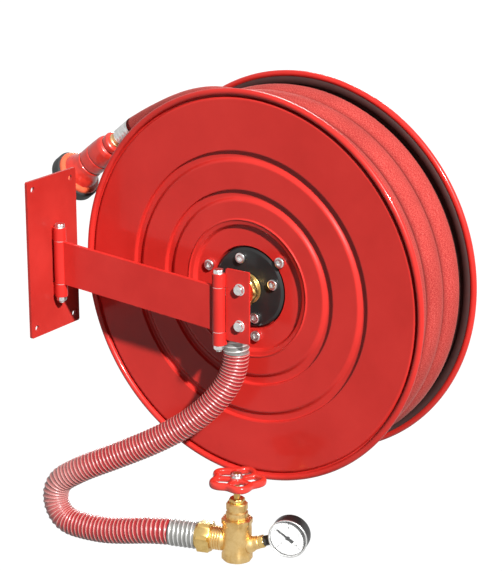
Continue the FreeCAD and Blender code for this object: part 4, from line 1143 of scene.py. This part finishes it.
def gauge():
    """Case, bezel ring and dial."""
    case = lathe("gauge_shell", [
        (0, -11), (25, -11), (27, -9), (27, 10), (25.4, 10.2), (25.4, 6.6), (0, 6.4)], CASE,
        "hub", DIAL, soft=1.0, closed=False, count=128)
    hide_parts("gauge_case")
    bezel = lathe("gauge_ring", [
        (25.4, 10.2), (27.2, 10.2), (27.5, 10.8), (27.5, 12), (26.9, 12.8), (25.9, 12.8),
        (25.5, 12.0), (25.4, 11.0)], SLEEVE, "hub", DIAL, soft=0.5, count=128)
    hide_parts("gauge_bezel")
    plate = lathe("gauge_face", [(0, 7.5), (25.2, 7.5), (25.2, 6.8), (0, 6.8)], DIAL_WHITE,
                  "hub", DIAL, soft=0, closed=False, count=128)
    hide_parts("gauge_dial")


def mark_size(k):
    """A scale mark's length and half width; those with a number are the longest."""
    if k % 8 == 0:
        return 4.2, 0.32
    if k % 4 == 0:
        return 2.9, 0.16
    return 1.9, 0.16


def dial_print():
    """The scale's marks and numbers."""
    verts, pieces = [], []
    for k in range(SCALE_STEPS + 1):
        angle = SCALE_START + SCALE_SWEEP * k / SCALE_STEPS
        c, s = math.cos(angle), math.sin(angle)
        long, half = mark_size(k)
        low, high = SCALE_RADIUS - long, SCALE_RADIUS
        for r, t in ((low, -half), (high, -half), (high, half), (low, half)):
            verts.append(((r * c - t * s) * MM, (r * s + t * c) * MM, PRINT_LEVEL * MM))
    faces = [tuple(range(k, k + 4)) for k in range(0, len(verts), 4)]
    pieces.append(finish_mesh("dial_marks", verts, faces, INK, "hub", DIAL))
    for k in range(5):
        angle = SCALE_START + SCALE_SWEEP * k / 4
        pieces.append(number(str(4 * k), NUMBER_RADIUS * math.cos(angle),
                             NUMBER_RADIUS * math.sin(angle)))
    joined("dial_print_marks", pieces, [])


def number(text, x, y):
    """A number of the scale with its middle at x, y on the dial."""
    curve = bpy.data.curves.new("number", "FONT")
    curve.body, curve.size = text, 4.6 * MM
    curve.align_x, curve.align_y = "CENTER", "CENTER"
    points, faces = curve_shape("number", curve)
    verts = [(p.x + x * MM, p.y + y * MM, PRINT_LEVEL * MM) for p in points]
    return finish_mesh("number", verts, faces, INK, "hub", DIAL)


# ---- everything ----

CAD_LOOKS = [
    # The wall plate takes the darker copy of the enamel, which is painted shade.
    (SHADED_PLATE_RED, ["wall_plate"]),
    (RED, ["wall_knuckles", "arm_bar", "arm_barrels", "bracket_plate",
           "bracket_knuckles", "waterway_elbow", "drum_core"]),
    (ZINC, ["wall_hinge_washers", "hub_hinge_washers", "tie_spacers", "axle_washer"]),
    (BRASS, ["axle_tube", "hub_bushes", "hose_spigot", "valve_plug", "hose_outlet",
             "hub_spool"]),
    (DARK, ["gauge_adapter"]),
    (RUBBER, ["hub_seals", "seat_washer", "gland_packing"]),
    (LENS, ["gauge_glass"]),
    (INK, ["gauge_needle"]),
]
EDGE_ROUND = 0.6 * MM
BEVELLED = ["wall_plate", "wall_knuckles", "arm_bar", "arm_barrels", "bracket_plate",
            "bracket_knuckles"]


def dress_cad():
    """Materials for the CAD nodes that are shown as they are, and soft edges for some."""
    for material, names in CAD_LOOKS:
        for name in names:
            mesh = NODES[name].data
            for k in range(len(mesh.materials)):
                mesh.materials[k] = material
    for name in BEVELLED:
        bevel = NODES[name].modifiers.new("edges", "BEVEL")
        bevel.width, bevel.segments = EDGE_ROUND, 2
        bevel.limit_method, bevel.angle_limit = "ANGLE", math.radians(50)
        bevel.harden_normals = True


set_camera()
set_stage()
reel_hose, reel_line, reel_length = wound_hose()
feed_skin, feed_line, feed_length = feed_hose()
drum()
hinge_hardware("wall_hinge_hardware", "wall_hinge", "wall_mount")
hinge_hardware("hub_hinge_hardware", "hub_hinge", "hub")
bracket_bolts()
hub_fittings()
sleeves = hose_sleeves()
reel_end = (nozzle_sleeve(), *nozzle_barrel(), *nozzle_head())
valve_casting()
valve_cover()
union_ring()
valve_spindle()
handwheel()
gauge()
dial_print()
dress_cad()
resample(feed_line, 8 * MM)[0]
print("reel hose", round(reel_length, 3), "feed hose", round(feed_length, 4))
